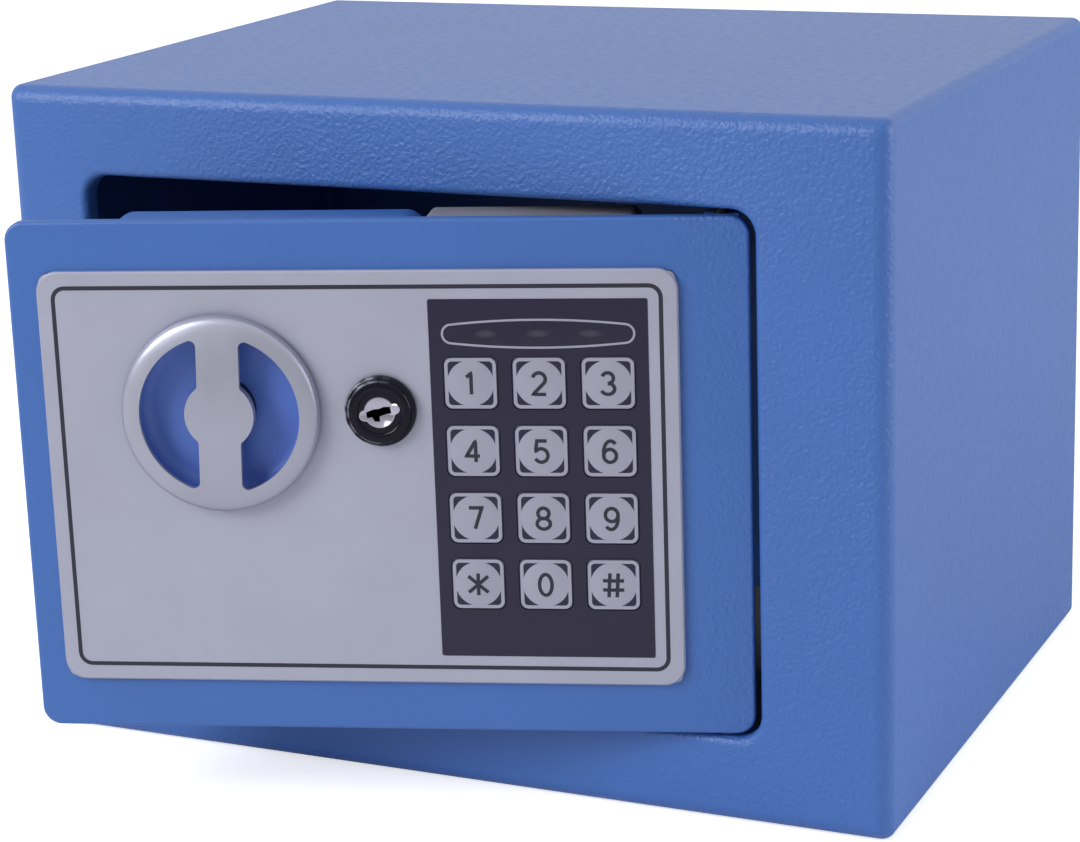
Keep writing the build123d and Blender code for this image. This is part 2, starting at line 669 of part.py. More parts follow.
def knob_handle():
    """Bevelled ring with a hub and an upright bar, open on both sides for the fingers."""
    inner = KNOB_R - KNOB_RING
    whole = turned(KNOB_CX, KNOB_CZ, [
        (0, KNOB_BACK), (KNOB_R, KNOB_BACK), (KNOB_R, KNOB_BACK - KNOB_RIM_T),
        (inner + KNOB_FLAT, KNOB_FRONT), (0, KNOB_FRONT)])
    grip = Circle(inner) - Rectangle(BAR_W, 2 * KNOB_R) - Circle(HUB_R)
    grip = fillet([v for v in grip.vertices() if Vector(v).length > (inner + HUB_R) / 2], GRIP_R)
    grip = fillet([v for v in grip.vertices() if Vector(v).length < HUB_R + TIGHT_R], HUB_CORNER_R)
    knob = whole - slab(Pos(KNOB_CX, KNOB_CZ) * grip, KNOB_FRONT - PAST, KNOB_BACK + PAST)
    return knob - disc(KNOB_CX, KNOB_CZ, SHAFT_R, KNOB_BACK - KNOB_SEAT, KNOB_BACK + PAST)


def knob_shaft():
    """Shaft pressed into the hub, with a collar in the dish, stepped down for the crank."""
    shaft = disc(KNOB_CX, KNOB_CZ, SHAFT_R, KNOB_BACK - KNOB_SEAT, CRANK_Y)
    shaft += disc(KNOB_CX, KNOB_CZ, NECK_R, KNOB_BACK, CUP_FLOOR - CUP_PLAY)
    return shaft + disc(KNOB_CX, KNOB_CZ, SHAFT_END_R, CRANK_Y - PAST, CRANK_BACK)


def crank_pin_place():
    """Centre of the crank's pin, which starts to the hinge side of upright."""
    reach = CRANK_THROW * sin(radians(CRANK_START))
    return KNOB_CX + reach, KNOB_CZ + CRANK_THROW * cos(radians(CRANK_START))


def knob_crank():
    """Arm on the end of the shaft, with the pin that drives the carriage."""
    pin_x, pin_z = crank_pin_place()
    ends = Pos(KNOB_CX, KNOB_CZ) * Circle(CRANK_BOSS_R) + Pos(pin_x, pin_z) * Circle(CRANK_EYE_R)
    crank = slab(make_hull(ends.edges()), CRANK_Y, CRANK_BACK)
    crank -= disc(KNOB_CX, KNOB_CZ, SHAFT_END_R, CRANK_Y - PAST, CRANK_BACK + PAST)
    return crank + disc(pin_x, pin_z, CRANK_PIN_R, CRANK_BACK - PAST, CARRIAGE_BACK + CRANK_PIN_PROUD)


def crank_screw():
    """Flat head of the screw that holds the crank on the shaft."""
    return disc(KNOB_CX, KNOB_CZ, CRANK_SCREW_R, CRANK_BACK, CRANK_BACK + SCREW_HEAD_T)


def bolt_carriage():
    """Flat steel slide: an upright bar for both bolts, and a tail with the tooth that gets blocked."""
    x0 = CARRIAGE_X0
    z0 = DOOR_CZ - BOLT_RISE - BOLT_R
    z1 = DOOR_CZ + BOLT_RISE + BOLT_R
    plate = slab(rounded(x0, x0 + CARRIAGE_W, z0, z1, CARRIAGE_REACH), CARRIAGE_Y, CARRIAGE_BACK)
    tail = block(x0 + CARRIAGE_W / 2, TOOTH_X1, CARRIAGE_Y, CARRIAGE_BACK, TAIL_Z0, TAIL_Z0 + TAIL_H)
    tooth = block(TOOTH_X1 - TOOTH_W, TOOTH_X1, CARRIAGE_Y, CARRIAGE_BACK,
                  PLUNGER_TOP + TOOTH_CLEAR, TAIL_Z0 + PAST)
    plate = plate + tail + tooth
    pin_x, pin_z = crank_pin_place()
    low = pin_z - CRANK_PIN_R - CRANK_PLAY
    high = KNOB_CZ + CRANK_THROW + CRANK_PIN_R + CRANK_PLAY
    slot_w = 2 * (CRANK_PIN_R + CRANK_PLAY)
    slot = Pos(pin_x, (low + high) / 2) * Rot(0, 0, 90) * SlotOverall(high - low, slot_w)
    plate -= slab(slot, CARRIAGE_Y - PAST, CARRIAGE_BACK + PAST)
    stud_x = guide_stud_x()
    run = BOLT_TRAVEL + 2 * (GUIDE_STUD_R + SLOT_PLAY)
    guide = Pos(stud_x + BOLT_TRAVEL / 2, STUD_Z)
    guide *= SlotOverall(run, 2 * (GUIDE_STUD_R + SLOT_PLAY))
    plate -= slab(guide, CARRIAGE_Y - PAST, CARRIAGE_BACK + PAST)
    for z in bolt_heights():
        plate -= disc(rivet_x(), z, RIVET_R, CARRIAGE_Y - PAST, CARRIAGE_BACK + PAST)
    return plate


def bolt_heights():
    """Heights of the two bolts."""
    return (DOOR_CZ - BOLT_RISE, DOOR_CZ + BOLT_RISE)


def rivet_x():
    """Middle of the flat at the tail of each bolt."""
    return (CARRIAGE_X0 + BOLT_X1) / 2


def guide_stud_x():
    """The stud stands at the free end of its slot while the bolts are drawn."""
    return CARRIAGE_X0 + (CARRIAGE_W - BOLT_TRAVEL) / 2


def bolt(z):
    """Round bolt, bevelled at its tip, with a flat at its tail for the carriage."""
    rod = Pos((BOLT_X0 + BOLT_X1) / 2, BOLT_Y, z) * Rot(0, 90, 0) * Cylinder(BOLT_R, BOLT_X1 - BOLT_X0)
    rod = chamfer(rod.faces().sort_by(Axis.X)[0].edges(), BOLT_CHAMFER)
    rod -= block(CARRIAGE_X0 - RUN_CLEAR, BOLT_X1 + PAST, CARRIAGE_Y, BOLT_Y + BOLT_R + PAST,
                 z - BOLT_R - PAST, z + BOLT_R + PAST)
    return rod - disc(rivet_x(), z, RIVET_R, BOLT_Y, CARRIAGE_Y + PAST)


def bolt_hole(x0, x1, z, play):
    """Cutter for the hole that a bolt passes in a wall from x0 to x1."""
    length = x1 - x0 + 2 * PAST
    return Pos((x0 + x1) / 2, BOLT_Y, z) * Rot(0, 90, 0) * Cylinder(BOLT_R + play, length)


def bolt_rivets():
    """Rivets that hold the two bolts to the carriage."""
    rivets = []
    for z in bolt_heights():
        shank = disc(rivet_x(), z, RIVET_R, BOLT_Y, CARRIAGE_BACK)
        head = disc(rivet_x(), z, RIVET_HEAD_R, CARRIAGE_BACK, CARRIAGE_BACK + RIVET_HEAD_T)
        rivets.append(shank + head)
    return Compound(rivets)


def bolt_guide():
    """Folded bracket behind the door plate, bored for the two bolts."""
    z0 = DOOR_CZ - BOLT_RISE - BOLT_R - GUIDE_MARGIN
    z1 = DOOR_CZ + BOLT_RISE + BOLT_R + GUIDE_MARGIN
    web = block(GUIDE_X0, GUIDE_X1, DOOR_BACK, CARRIAGE_BACK, z0, z1)
    half = BEARING_SIZE / 2 + BEARING_CLEAR
    for foot_z0, foot_z1 in ((z0 + 2 * BOLT_R, KNOB_CZ - half), (KNOB_CZ + half, z1)):
        web += block(GUIDE_X0, GUIDE_X1 + GUIDE_FOOT, DOOR_BACK, DOOR_BACK + GUIDE_T, foot_z0, foot_z1)
    for z in bolt_heights():
        web -= bolt_hole(GUIDE_X0, GUIDE_X1, z, BORE_PLAY)
    return web


def guide_stud():
    """Shouldered stud that keeps the carriage level."""
    x = guide_stud_x()
    z = STUD_Z
    stud = disc(x, z, GUIDE_STUD_BASE_R, DOOR_BACK, CARRIAGE_Y - RUN_CLEAR)
    stud += disc(x, z, GUIDE_STUD_R, DOOR_BACK, CARRIAGE_BACK + RUN_CLEAR)
    return stud + disc(x, z, GUIDE_STUD_HEAD_R, CARRIAGE_BACK + RUN_CLEAR, COVER_INSIDE - RUN_CLEAR)


def solenoid():
    """Coil in its folded frame, bored for the plunger, on a foot against the door plate."""
    x0 = PLUNGER_X - COIL_W / 2
    x1 = PLUNGER_X + COIL_W / 2
    z0 = COIL_Z1 - COIL_H
    frame = block(x0, x1, COIL_Y, COIL_Y + COIL_T, z0, COIL_Z1)
    frame -= block(x0 + FRAME_T, x1 - FRAME_T, COIL_Y + FRAME_T, COIL_Y + COIL_T + PAST,
                   z0 + FRAME_T, COIL_Z1 - FRAME_T)
    frame += pillar(PLUNGER_X, COIL_CY, COIL_R, z0 + FRAME_T / 2, COIL_Z1 - FRAME_T / 2)
    return frame - pillar(PLUNGER_X, COIL_CY, PLUNGER_R + BORE_PLAY, z0 + COIL_LIFT, COIL_Z1 + PAST)


def plunger():
    """Rod with a wedge head: sloped on the side that the tooth comes from, upright on the other."""
    head_z0 = PLUNGER_TOP - HEAD_H
    left = PLUNGER_X - HEAD_W / 2
    right = PLUNGER_X + HEAD_W / 2
    wedge = Polyline(
        (left, head_z0), (right, head_z0), (right, head_z0 + HEAD_BEVEL),
        (PLUNGER_X - HEAD_BEVEL, PLUNGER_TOP), (left + HEAD_BEVEL, PLUNGER_TOP),
        (left, PLUNGER_TOP - HEAD_BEVEL), close=True)
    head = slab(make_face(wedge), COIL_CY - PLUNGER_R, CARRIAGE_BACK - RUN_CLEAR)
    rod_z0 = COIL_Z1 - COIL_H + COIL_LIFT + RUN_CLEAR
    return head + pillar(PLUNGER_X, COIL_CY, PLUNGER_R, rod_z0, head_z0 + PAST)


def lock_housing():
    """Round black bezel on a barrel that passes through fascia and door."""
    face = PLUG_R + BORE_PLAY
    dish_r = PLUG_EAR_REACH + STUD_PLAY
    return turned(LOCK_CX, LOCK_CZ, [
        (face, BEZEL_Y + PLUG_SINK), (dish_r, BEZEL_Y + PLUG_SINK),
        (dish_r + BEZEL_DISH, BEZEL_Y), (BEZEL_R - BEZEL_BEVEL, BEZEL_Y),
        (BEZEL_R, BEZEL_Y + BEZEL_BEVEL), (BEZEL_R, FASCIA_Y), (BARREL_R, FASCIA_Y),
        (BARREL_R, BARREL_BACK), (face, BARREL_BACK)])


def lock_nut():
    """Thin hexagon nut that clamps the lock's barrel in the door."""
    hexagon = Rot(0, 0, NUT_TURN) * RegularPolygon(NUT_AF / 2, 6, major_radius=False)
    nut = slab(Pos(LOCK_CX, LOCK_CZ) * hexagon, DOOR_BACK, DOOR_BACK + NUT_T)
    return nut - disc(LOCK_CX, LOCK_CZ, BARREL_R, DOOR_BACK - PAST, DOOR_BACK + NUT_T + PAST)


def lock_plug():
    """Turning plug with its keyway, two ears at its mouth, and the tang that drives the cam."""
    face_y = BEZEL_Y + PLUG_SET_BACK
    tilted = Pos(LOCK_CX, LOCK_CZ) * Rot(0, 0, KEYWAY_TILT)
    plug = disc(LOCK_CX, LOCK_CZ, PLUG_R, face_y, BARREL_BACK)
    ears = tilted * SlotOverall(2 * PLUG_EAR_REACH, PLUG_EAR_W)
    plug += slab(ears, face_y, BEZEL_Y + PLUG_SINK - STUD_PLAY)
    way = tilted * Rectangle(KEYWAY_H, KEYWAY_W)
    plug -= slab(way, face_y - PAST, face_y + KEYWAY_DEPTH)
    tang = Pos(LOCK_CX, LOCK_CZ) * Rectangle(PLUG_R, PLUG_R)
    return plug + slab(tang, BARREL_BACK - PAST, CAM_BACK)


def lock_cam():
    """Round cam set off centre: it points to the free edge until the key swings it down."""
    cam = disc(LOCK_CX - CAM_THROW, LOCK_CZ, CAM_R, CAM_Y, CAM_BACK)
    tang = Pos(LOCK_CX, LOCK_CZ) * Rectangle(PLUG_R, PLUG_R)
    return cam - slab(tang, CAM_Y - PAST, CAM_BACK + PAST)


def cover_post_places():
    """Places of the four posts under the corners of the cover."""
    x0 = COVER_X0 + COVER_SHEET + POST_INSET
    x1 = COVER_X1 - COVER_SHEET - POST_INSET
    z0 = COVER_Z0 + COVER_SHEET + POST_INSET
    z1 = COVER_Z1 - COVER_SHEET - POST_INSET
    return [(x0, z0), (x1, z0), (x0, z1), (x1, z1)]


def inner_cover():
    """Folded steel cover over the bolt work, open towards the door plate."""
    outer = slab(rounded(COVER_X0, COVER_X1, COVER_Z0, COVER_Z1, COVER_R), DOOR_BACK, COVER_BACK)
    outer = fillet(outer.faces().sort_by(Axis.Y)[-1].edges(), COVER_BACK_R)
    s = COVER_SHEET
    inner = slab(rounded(COVER_X0 + s, COVER_X1 - s, COVER_Z0 + s, COVER_Z1 - s, COVER_R - s),
                 DOOR_BACK - PAST, COVER_INSIDE)
    cover = outer - fillet(inner.faces().sort_by(Axis.Y)[-1].edges(), COVER_BACK_R - s)
    for z in bolt_heights():
        cover -= bolt_hole(COVER_X0, COVER_X0 + s, z, BOLT_HOLE_PLAY)
    for x, z in cover_post_places():
        cover -= disc(x, z, SCREW_R + STUD_PLAY, COVER_INSIDE - PAST, COVER_BACK + PAST)
    return cover


def cover_posts():
    """Posts on the back of the door that the cover is screwed to."""
    posts = [disc(x, z, POST_R, DOOR_BACK, COVER_INSIDE) for x, z in cover_post_places()]
    return Compound(posts)


def cover_screws():
    """Four pan-head screws that hold the cover to its posts."""
    screws = []
    for x, z in cover_post_places():
        head = disc(x, z, SCREW_HEAD_R, COVER_BACK, COVER_BACK + SCREW_HEAD_T)
        head = chamfer(head.faces().sort_by(Axis.Y)[-1].edges(), SCREW_BEVEL)
        shank = disc(x, z, SCREW_R, COVER_INSIDE, COVER_BACK)
        screws.append(head + shank)
    return Compound(screws)


def cell_bay():
    """Inside of the battery bay as x0, x1, z0, z1."""
    x0 = BOX_X0 + BOX_WALL
    x1 = x0 + 4 * CELL_R + 3 * CELL_PLAY
    length = 2 * bay_height() + BOX_WALL
    z0 = DOOR_CZ - length / 2
    return x0, x1, z0, z0 + length


def bay_floor():
    """Depth of the face that the cells lie against."""
    return BOX_BACK - BOX_WALL - 2 * CELL_R - 2 * CELL_PLAY


def electronics_box():
    """Plastic box behind the keypad: battery bay open at the back, board room open at the front."""
    body = slab(rounded(BOX_X0, BOX_X1, COVER_Z0, COVER_Z1, BOX_R), DOOR_BACK, BOX_BACK)
    body = fillet(body.faces().sort_by(Axis.Y)[-1].edges(), BOX_EDGE_R)
    x0, x1, z0, z1 = cell_bay()
    floor = bay_floor()
    body -= block(x0, x1, floor, BOX_BACK + PAST, z0, z1)
    lap = LID_LAP
    body -= block(x0 - lap, x1 + lap, BOX_BACK - LID_T, BOX_BACK + PAST, z0 - lap, z1 + lap)
    wall = BOX_WALL
    middle = (z0 + z1) / 2
    body += block(x0 - wall / 2, x1 + wall / 2, floor - BAY_FLOOR_T / 2, BOX_BACK - LID_T - LID_PLAY,
                  middle - wall / 2, middle + wall / 2)
    body -= block(BOX_X0 + wall, BOX_X1 - wall, DOOR_BACK - PAST, floor - BAY_FLOOR_T,
                  COVER_Z0 + wall, COVER_Z1 - wall)
    body -= block(x1 + wall, BOX_X1 - wall, DOOR_BACK - PAST, BOX_BACK - wall,
                  COVER_Z0 + BOX_END, COVER_Z1 - BOX_END)
    reset_r = RESET_R + KEY_PLAY
    body -= disc(reset_x(), DOOR_CZ, reset_r, BOX_BACK - wall - PAST, BOX_BACK + PAST)
    for x, z in box_screw_places():
        body -= disc(x, z, SCREW_R + STUD_PLAY, DOOR_BACK - PAST, BOX_BACK + PAST)
    return body


def reset_x():
    """Middle of the box's side room, where its screws and the reset button stand."""
    return (cell_bay()[1] + BOX_X1) / 2


def box_screw_places():
    """Places of the two screws at the ends of the side room."""
    x = reset_x()
    return [(x, COVER_Z0 + BOX_SCREW_INSET), (x, COVER_Z1 - BOX_SCREW_INSET)]


def box_screws():
    """Screws through the box into the door plate."""
    screws = []
    for x, z in box_screw_places():
        head = disc(x, z, SCREW_HEAD_R, BOX_BACK, BOX_BACK + SCREW_HEAD_T)
        head = chamfer(head.faces().sort_by(Axis.Y)[-1].edges(), SCREW_BEVEL)
        screws.append(head + disc(x, z, SCREW_R, DOOR_BACK, BOX_BACK))
    return Compound(screws)


def cell_places():
    """Centre x, lower end and upright or inverted, for the four cells."""
    x0, x1, z0, z1 = cell_bay()
    columns = (x0 + CELL_PLAY + CELL_R, x1 - CELL_PLAY - CELL_R)
    row = (z0 + z1 + BOX_WALL) / 2
    places = []
    for column, x in enumerate(columns):
        for base in (z0, row):
            places.append((x, base, column == 0))
    return places


def cell_axis_y():
    """Depth of the axes of the cells."""
    return bay_floor() + CELL_PLAY + CELL_R


def cell(x, base, upright):
    """AA cell with its raised tip."""
    y = cell_axis_y()
    length = CELL_L - CELL_TIP_H
    if upright:
        z0 = base + CONTACT_T + SPRING_H
        can = chamfer(pillar(x, y, CELL_R, z0, z0 + length).edges().filter_by(GeomType.CIRCLE), CELL_BEVEL)
        return can + pillar(x, y, CELL_TIP_R, z0 + length - CELL_BEVEL, z0 + CELL_L)
    z0 = base + CONTACT_T + CELL_PLAY + CELL_TIP_H
    can = chamfer(pillar(x, y, CELL_R, z0, z0 + length).edges().filter_by(GeomType.CIRCLE), CELL_BEVEL)
    return can + pillar(x, y, CELL_TIP_R, z0 - CELL_TIP_H, z0 + CELL_BEVEL)


def bay_height():
    """Length of the bay that one cell takes, with its spring and both contacts."""
    return CELL_L + SPRING_H + 2 * CONTACT_T + CELL_PLAY


def contact_springs():
    """Tapered springs at the flat ends of the cells, as plain cones."""
    springs = []
    y = cell_axis_y()
    for x, base, upright in cell_places():
        z = base + CONTACT_T if upright else base + bay_height() - CONTACT_T - SPRING_H
        low_r, high_r = (SPRING_R, SPRING_TIP_R) if upright else (SPRING_TIP_R, SPRING_R)
        springs.append(Pos(x, y, z + SPRING_H / 2) * Cone(low_r, high_r, SPRING_H))
    return Compound(springs)


def contact_plates():
    """Sprung steel strips at both ends of each cell."""
    plates = []
    y = cell_axis_y()
    half = CONTACT_HALF
    for x, base, _ in cell_places():
        for z in (base, base + bay_height() - CONTACT_T):
            plates.append(block(x - half, x + half, y - half, y + half, z, z + CONTACT_T))
    return Compound(plates)


def battery_lid():
    """Lid that drops into the rebate, with finger grooves near its top."""
    x0, x1, z0, z1 = cell_bay()
    edge = LID_LAP - LID_PLAY
    lid = slab(rounded(x0 - edge, x1 + edge, z0 - edge, z1 + edge, LID_R), BOX_BACK - LID_T, BOX_BACK)
    middle = (x0 + x1) / 2
    half = LID_GROOVE_L / 2
    for groove in range(LID_GROOVES):
        z = z1 - LID_GROOVE_INSET - LID_GROOVE_PITCH * groove
        lid -= block(middle - half, middle + half, BOX_BACK - LID_GROOVE_DEPTH, BOX_BACK + PAST,
                     z, z + LID_GROOVE_W)
    return lid


def reset_button():
    """Small button beside the battery bay, kept in by its rim, with a stem down to the board."""
    y0 = BOX_BACK - BOX_WALL - KEY_PLAY - RESET_RIM_T
    x = reset_x()
    z = DOOR_CZ
    button = disc(x, z, RESET_R, y0, BOX_BACK + RESET_PROUD)
    button = chamfer(button.faces().sort_by(Axis.Y)[-1].edges(), RESET_BEVEL)
    button += disc(x, z, RESET_R + RESET_RIM, y0, y0 + RESET_RIM_T)
    return button + disc(x, z, RESET_STEM_R, BOARD_BACK + KEY_PLAY + RESET_TRAVEL, y0)


def build_nodes():
    """Every separate piece under its node name, where it stands at rest."""
    nodes = {
        "case_shell": case_shell(),
        "back_panel": back_panel(),
        "floor_mat": floor_mat(),
        "hinge_plate_top": hinge_plate(OPEN_Z1 + SHEET),
        "hinge_plate_bottom": hinge_plate(OPEN_Z0 - SHEET - HINGE_PLATE_T),
        "hinge_washer": hinge_washer(),
    }
    plate_reach = SHEET + HINGE_PLATE_T + PIN_STANDOUT
    door = {
        "door_plate": door_plate(),
        "hinge_block_top": hinge_block(DOOR_Z1 - BLOCK_H),
        "hinge_block_bottom": hinge_block(DOOR_Z0),
        "hinge_pin_top": hinge_pin(DOOR_Z1 - BLOCK_H, OPEN_Z1 + plate_reach),
        "hinge_pin_bottom": hinge_pin(OPEN_Z0 - plate_reach, DOOR_Z0 + BLOCK_H),
        "fascia": fascia(),
        "keypad_film": keypad_film(),
        "lamp_window": lamp_window(),
        "lamps": lamps(),
        "rubber_mat": rubber_mat(),
        "circuit_board": circuit_board(),
        "knob_cup": knob_cup(),
        "shaft_bearing": shaft_bearing(),
        "lock_housing": lock_housing(),
        "lock_nut": lock_nut(),
        "bolt_guide": bolt_guide(),
        "guide_stud": guide_stud(),
        "solenoid": solenoid(),
        "inner_cover": inner_cover(),
        "cover_posts": cover_posts(),
        "cover_screws": cover_screws(),
        "electronics_box": electronics_box(),
        "box_screws": box_screws(),
        "contact_springs": contact_springs(),
        "contact_plates": contact_plates(),
        "knob_handle": knob_handle(),
        "knob_shaft": knob_shaft(),
        "knob_crank": knob_crank(),
        "crank_screw": crank_screw(),
        "bolt_carriage": bolt_carriage(),
        "bolt_bottom": bolt(bolt_heights()[0]),
        "bolt_top": bolt(bolt_heights()[1]),
        "bolt_rivets": bolt_rivets(),
        "plunger": plunger(),
        "lock_plug": lock_plug(),
        "lock_cam": lock_cam(),
        "battery_lid": battery_lid(),
        "reset_button": reset_button(),
    }
    for index, (x, base, upright) in enumerate(cell_places()):
        door["cell_%d" % (index + 1)] = cell(x, base, upright)
    for name, x, z in key_places():
        door[name] = key(x, z)
    for name, piece in door.items():
        nodes[name] = swung(piece)
    return nodes


os.makedirs("parts", exist_ok=True)
for node_name, solid in build_nodes().items():
    export_step(solid, "parts/%s.step" % node_name)
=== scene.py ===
import bmesh
import bpy
import json
from math import atan2, cos, hypot, pi, radians, sin, sqrt
from mathutils import Matrix, Vector

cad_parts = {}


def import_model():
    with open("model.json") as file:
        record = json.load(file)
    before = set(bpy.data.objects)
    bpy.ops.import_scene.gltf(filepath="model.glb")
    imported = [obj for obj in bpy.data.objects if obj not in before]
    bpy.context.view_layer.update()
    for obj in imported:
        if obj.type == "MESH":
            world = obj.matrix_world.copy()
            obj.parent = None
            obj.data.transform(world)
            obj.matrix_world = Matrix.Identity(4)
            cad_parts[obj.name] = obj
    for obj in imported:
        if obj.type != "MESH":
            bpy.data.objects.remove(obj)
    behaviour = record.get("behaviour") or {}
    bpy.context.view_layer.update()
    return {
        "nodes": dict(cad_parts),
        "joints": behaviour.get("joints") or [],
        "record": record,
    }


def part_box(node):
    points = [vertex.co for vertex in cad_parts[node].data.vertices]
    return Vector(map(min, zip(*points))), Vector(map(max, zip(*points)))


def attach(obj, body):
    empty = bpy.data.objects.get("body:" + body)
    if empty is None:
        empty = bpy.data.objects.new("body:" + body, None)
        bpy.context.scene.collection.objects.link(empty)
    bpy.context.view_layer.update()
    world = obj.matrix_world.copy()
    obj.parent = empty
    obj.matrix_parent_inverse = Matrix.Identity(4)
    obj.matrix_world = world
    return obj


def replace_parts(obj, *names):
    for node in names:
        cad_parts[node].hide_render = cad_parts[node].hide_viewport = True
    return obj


# The electronic safe: looks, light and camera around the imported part. Metres, +Z up, or
# millimetres where a heading says so.

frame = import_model()
NODES = frame["nodes"]
MM = 0.001


# Where the door and the case stand

def joint(name):
    return next(j for j in frame["joints"] if j["name"] == name)


HINGE = Vector(joint("door_hinge")["pos_m"])
OUT = Vector(joint("knob_turn")["axis"])
SWING = Matrix.Rotation(atan2(OUT.x, -OUT.y), 4, "Z")
DOOR = Matrix.Translation(HINGE) @ SWING @ Matrix.Translation(-HINGE)
SHUT = DOOR.inverted()
ALONG = Vector((-OUT.y, OUT.x, 0.0))
UP = Vector((0.0, 0.0, 1.0))
CASE_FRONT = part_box("case_shell")[0].y


def shut_box(node):
    """Lowest and highest corner of a door node, in metres, as if the door were shut."""
    points = [SHUT @ v.co for v in NODES[node].data.vertices]
    low = Vector(min(p[i] for p in points) for i in range(3))
    high = Vector(max(p[i] for p in points) for i in range(3))
    return low, high


def door_middle(node):
    """Middle of a door node, with the door as it stands."""
    low, high = shut_box(node)
    return DOOR @ ((low + high) / 2)


# Materials

class Nodes:
    """A node tree under construction, with short names for the nodes used most."""

    def __init__(self, tree):
        self.tree = tree

    def node(self, kind, **settings):
        made = self.tree.nodes.new(kind)
        for key, value in settings.items():
            setattr(made, key, value)
        return made

    def feed(self, socket, value):
        """Links a node's output to the socket, or sets a plain value on it."""
        if hasattr(value, "is_output"):
            self.tree.links.new(value, socket)
        else:
            socket.default_value = value

    def span(self, value, low, high, start=0.3, end=0.7):
        """The value carried from start..end to low..high, and held at those two outside."""
        made = self.node("ShaderNodeMapRange")
        self.feed(made.inputs["Value"], value)
        self.feed(made.inputs["From Min"], start)
        self.feed(made.inputs["From Max"], end)
        self.feed(made.inputs["To Min"], low)
        self.feed(made.inputs["To Max"], high)
        return made.outputs["Result"]

    def maths(self, operation, a, b=0.0):
        made = self.node("ShaderNodeMath", operation=operation)
        self.feed(made.inputs[0], a)
        self.feed(made.inputs[1], b)
        return made.outputs[0]

    def blend(self, share, a, b):
        """Number between a and b."""
        made = self.node("ShaderNodeMix")
        self.feed(made.inputs["Factor"], share)
        self.feed(made.inputs["A"], a)
        self.feed(made.inputs["B"], b)
        return made.outputs["Result"]

    def mix(self, share, a, b):
        """Colour between a and b."""
        made = self.node("ShaderNodeMix", data_type="RGBA")
        self.feed(made.inputs["Factor"], share)
        self.feed(made.inputs["A"], a if hasattr(a, "is_output") else (*a, 1))
        self.feed(made.inputs["B"], b if hasattr(b, "is_output") else (*b, 1))
        return made.outputs["Result"]


class Shader(Nodes):
    """A material under construction, with its colour, roughness and relief."""

    def __init__(self, name, colour, rough, metal=0.0):
        self.material = bpy.data.materials.new(name)
        self.material.use_nodes = True
        super().__init__(self.material.node_tree)
        self.bsdf = self.tree.nodes["Principled BSDF"]
        self.bsdf.inputs["Base Color"].default_value = (*colour, 1)
        self.bsdf.inputs["Roughness"].default_value = rough
        self.bsdf.inputs["Metallic"].default_value = metal
        self.colour = colour
        self.rough = rough
        self.relief = None
        self.coords = self.node("ShaderNodeTexCoord").outputs["Object"]

    def set(self, name, value):
        self.feed(self.bsdf.inputs[name], value)

    def noise(self, scale, detail=2.0, rough=0.5):
        made = self.node("ShaderNodeTexNoise")
        self.feed(made.inputs["Scale"], scale)
        self.feed(made.inputs["Detail"], detail)
        self.feed(made.inputs["Roughness"], rough)
        self.feed(made.inputs["Vector"], self.coords)
        return made.outputs["Fac"]

    def mottle(self, amount, scale):
        """Slow change of lightness, by a share of the colour each way."""
        dark = tuple(c * (1 - amount) for c in self.colour)
        light = tuple(min(1.0, c * (1 + amount)) for c in self.colour)
        tone = self.mix(self.span(self.noise(scale, 3.0), 0.0, 1.0), dark, light)
        self.set("Base Color", tone)

    def sheen_change(self, amount, scale):
        """Slow change of roughness, by an amount each way."""
        share = self.noise(scale, 3.0)
        self.set("Roughness", self.span(share, self.rough - amount, self.rough + amount))

    def reach(self, middle, direction):
        """Distance from a point along one direction, in metres."""
        apart = self.node("ShaderNodeVectorMath", operation="SUBTRACT")
        self.feed(apart.inputs[0], self.coords)
        self.feed(apart.inputs[1], tuple(middle))
        made = self.node("ShaderNodeVectorMath", operation="DOT_PRODUCT")
        self.feed(made.inputs[0], apart.outputs["Vector"])
        self.feed(made.inputs[1], tuple(direction))
        return made.outputs["Value"]

    def square(self, value):
        return self.maths("POWER", self.maths("ABSOLUTE", value), 2.0)

    def away(self, middle):
        """Distance from the line through a point that stands square on the door, in metres."""
        across = self.square(self.reach(middle, ALONG))
        upward = self.square(self.reach(middle, UP))
        return self.maths("SQRT", self.maths("ADD", across, upward))

    def near(self, value, place, peak, far, inner, outer):
        """Peak where the value is within inner of a place, going over to far at outer."""
        apart = self.maths("ABSOLUTE", self.maths("SUBTRACT", value, place))
        return self.span(apart, peak, far, inner, outer)

    def bump(self, height, depth, strength=1.0):
        """Adds relief of a depth in metres."""
        made = self.node("ShaderNodeBump")
        self.feed(made.inputs["Strength"], strength)
        self.feed(made.inputs["Distance"], depth)
        self.feed(made.inputs["Height"], height)
        if self.relief is not None:
            self.feed(made.inputs["Normal"], self.relief)
        self.relief = made.outputs["Normal"]
        self.set("Normal", self.relief)


def powder_coat(name, colour):
    """Powder coat with a fine leathery wrinkle, strongest on the front of the case."""
    wrinkle_depth, grain_depth = 0.00048, 0.000015
    m = Shader(name, colour, 0.42)
    m.mottle(0.03, 25.0)
    m.sheen_change(0.04, 400.0)
    front = m.near(m.reach((0, 0, 0), (0, 1, 0)), CASE_FRONT, 1.0, 0.4, 0.0008, 0.004)
    right = m.span(m.reach((0, 0, 0), (1, 0, 0.6)), 0.55, 1.0, -0.02, 0.16)
    patchy = m.span(m.noise(14.0, 2.0), 0.6, 1.0, 0.35, 0.65)
    share = m.maths("MULTIPLY", m.maths("MULTIPLY", front, right), patchy)
    wrinkle = m.noise(950.0, 2.0, 0.55)
    m.bump(m.maths("MULTIPLY", wrinkle, share), wrinkle_depth)
    m.bump(m.noise(2400.0, 2.0, 0.6), grain_depth, 0.5)
    return m.material


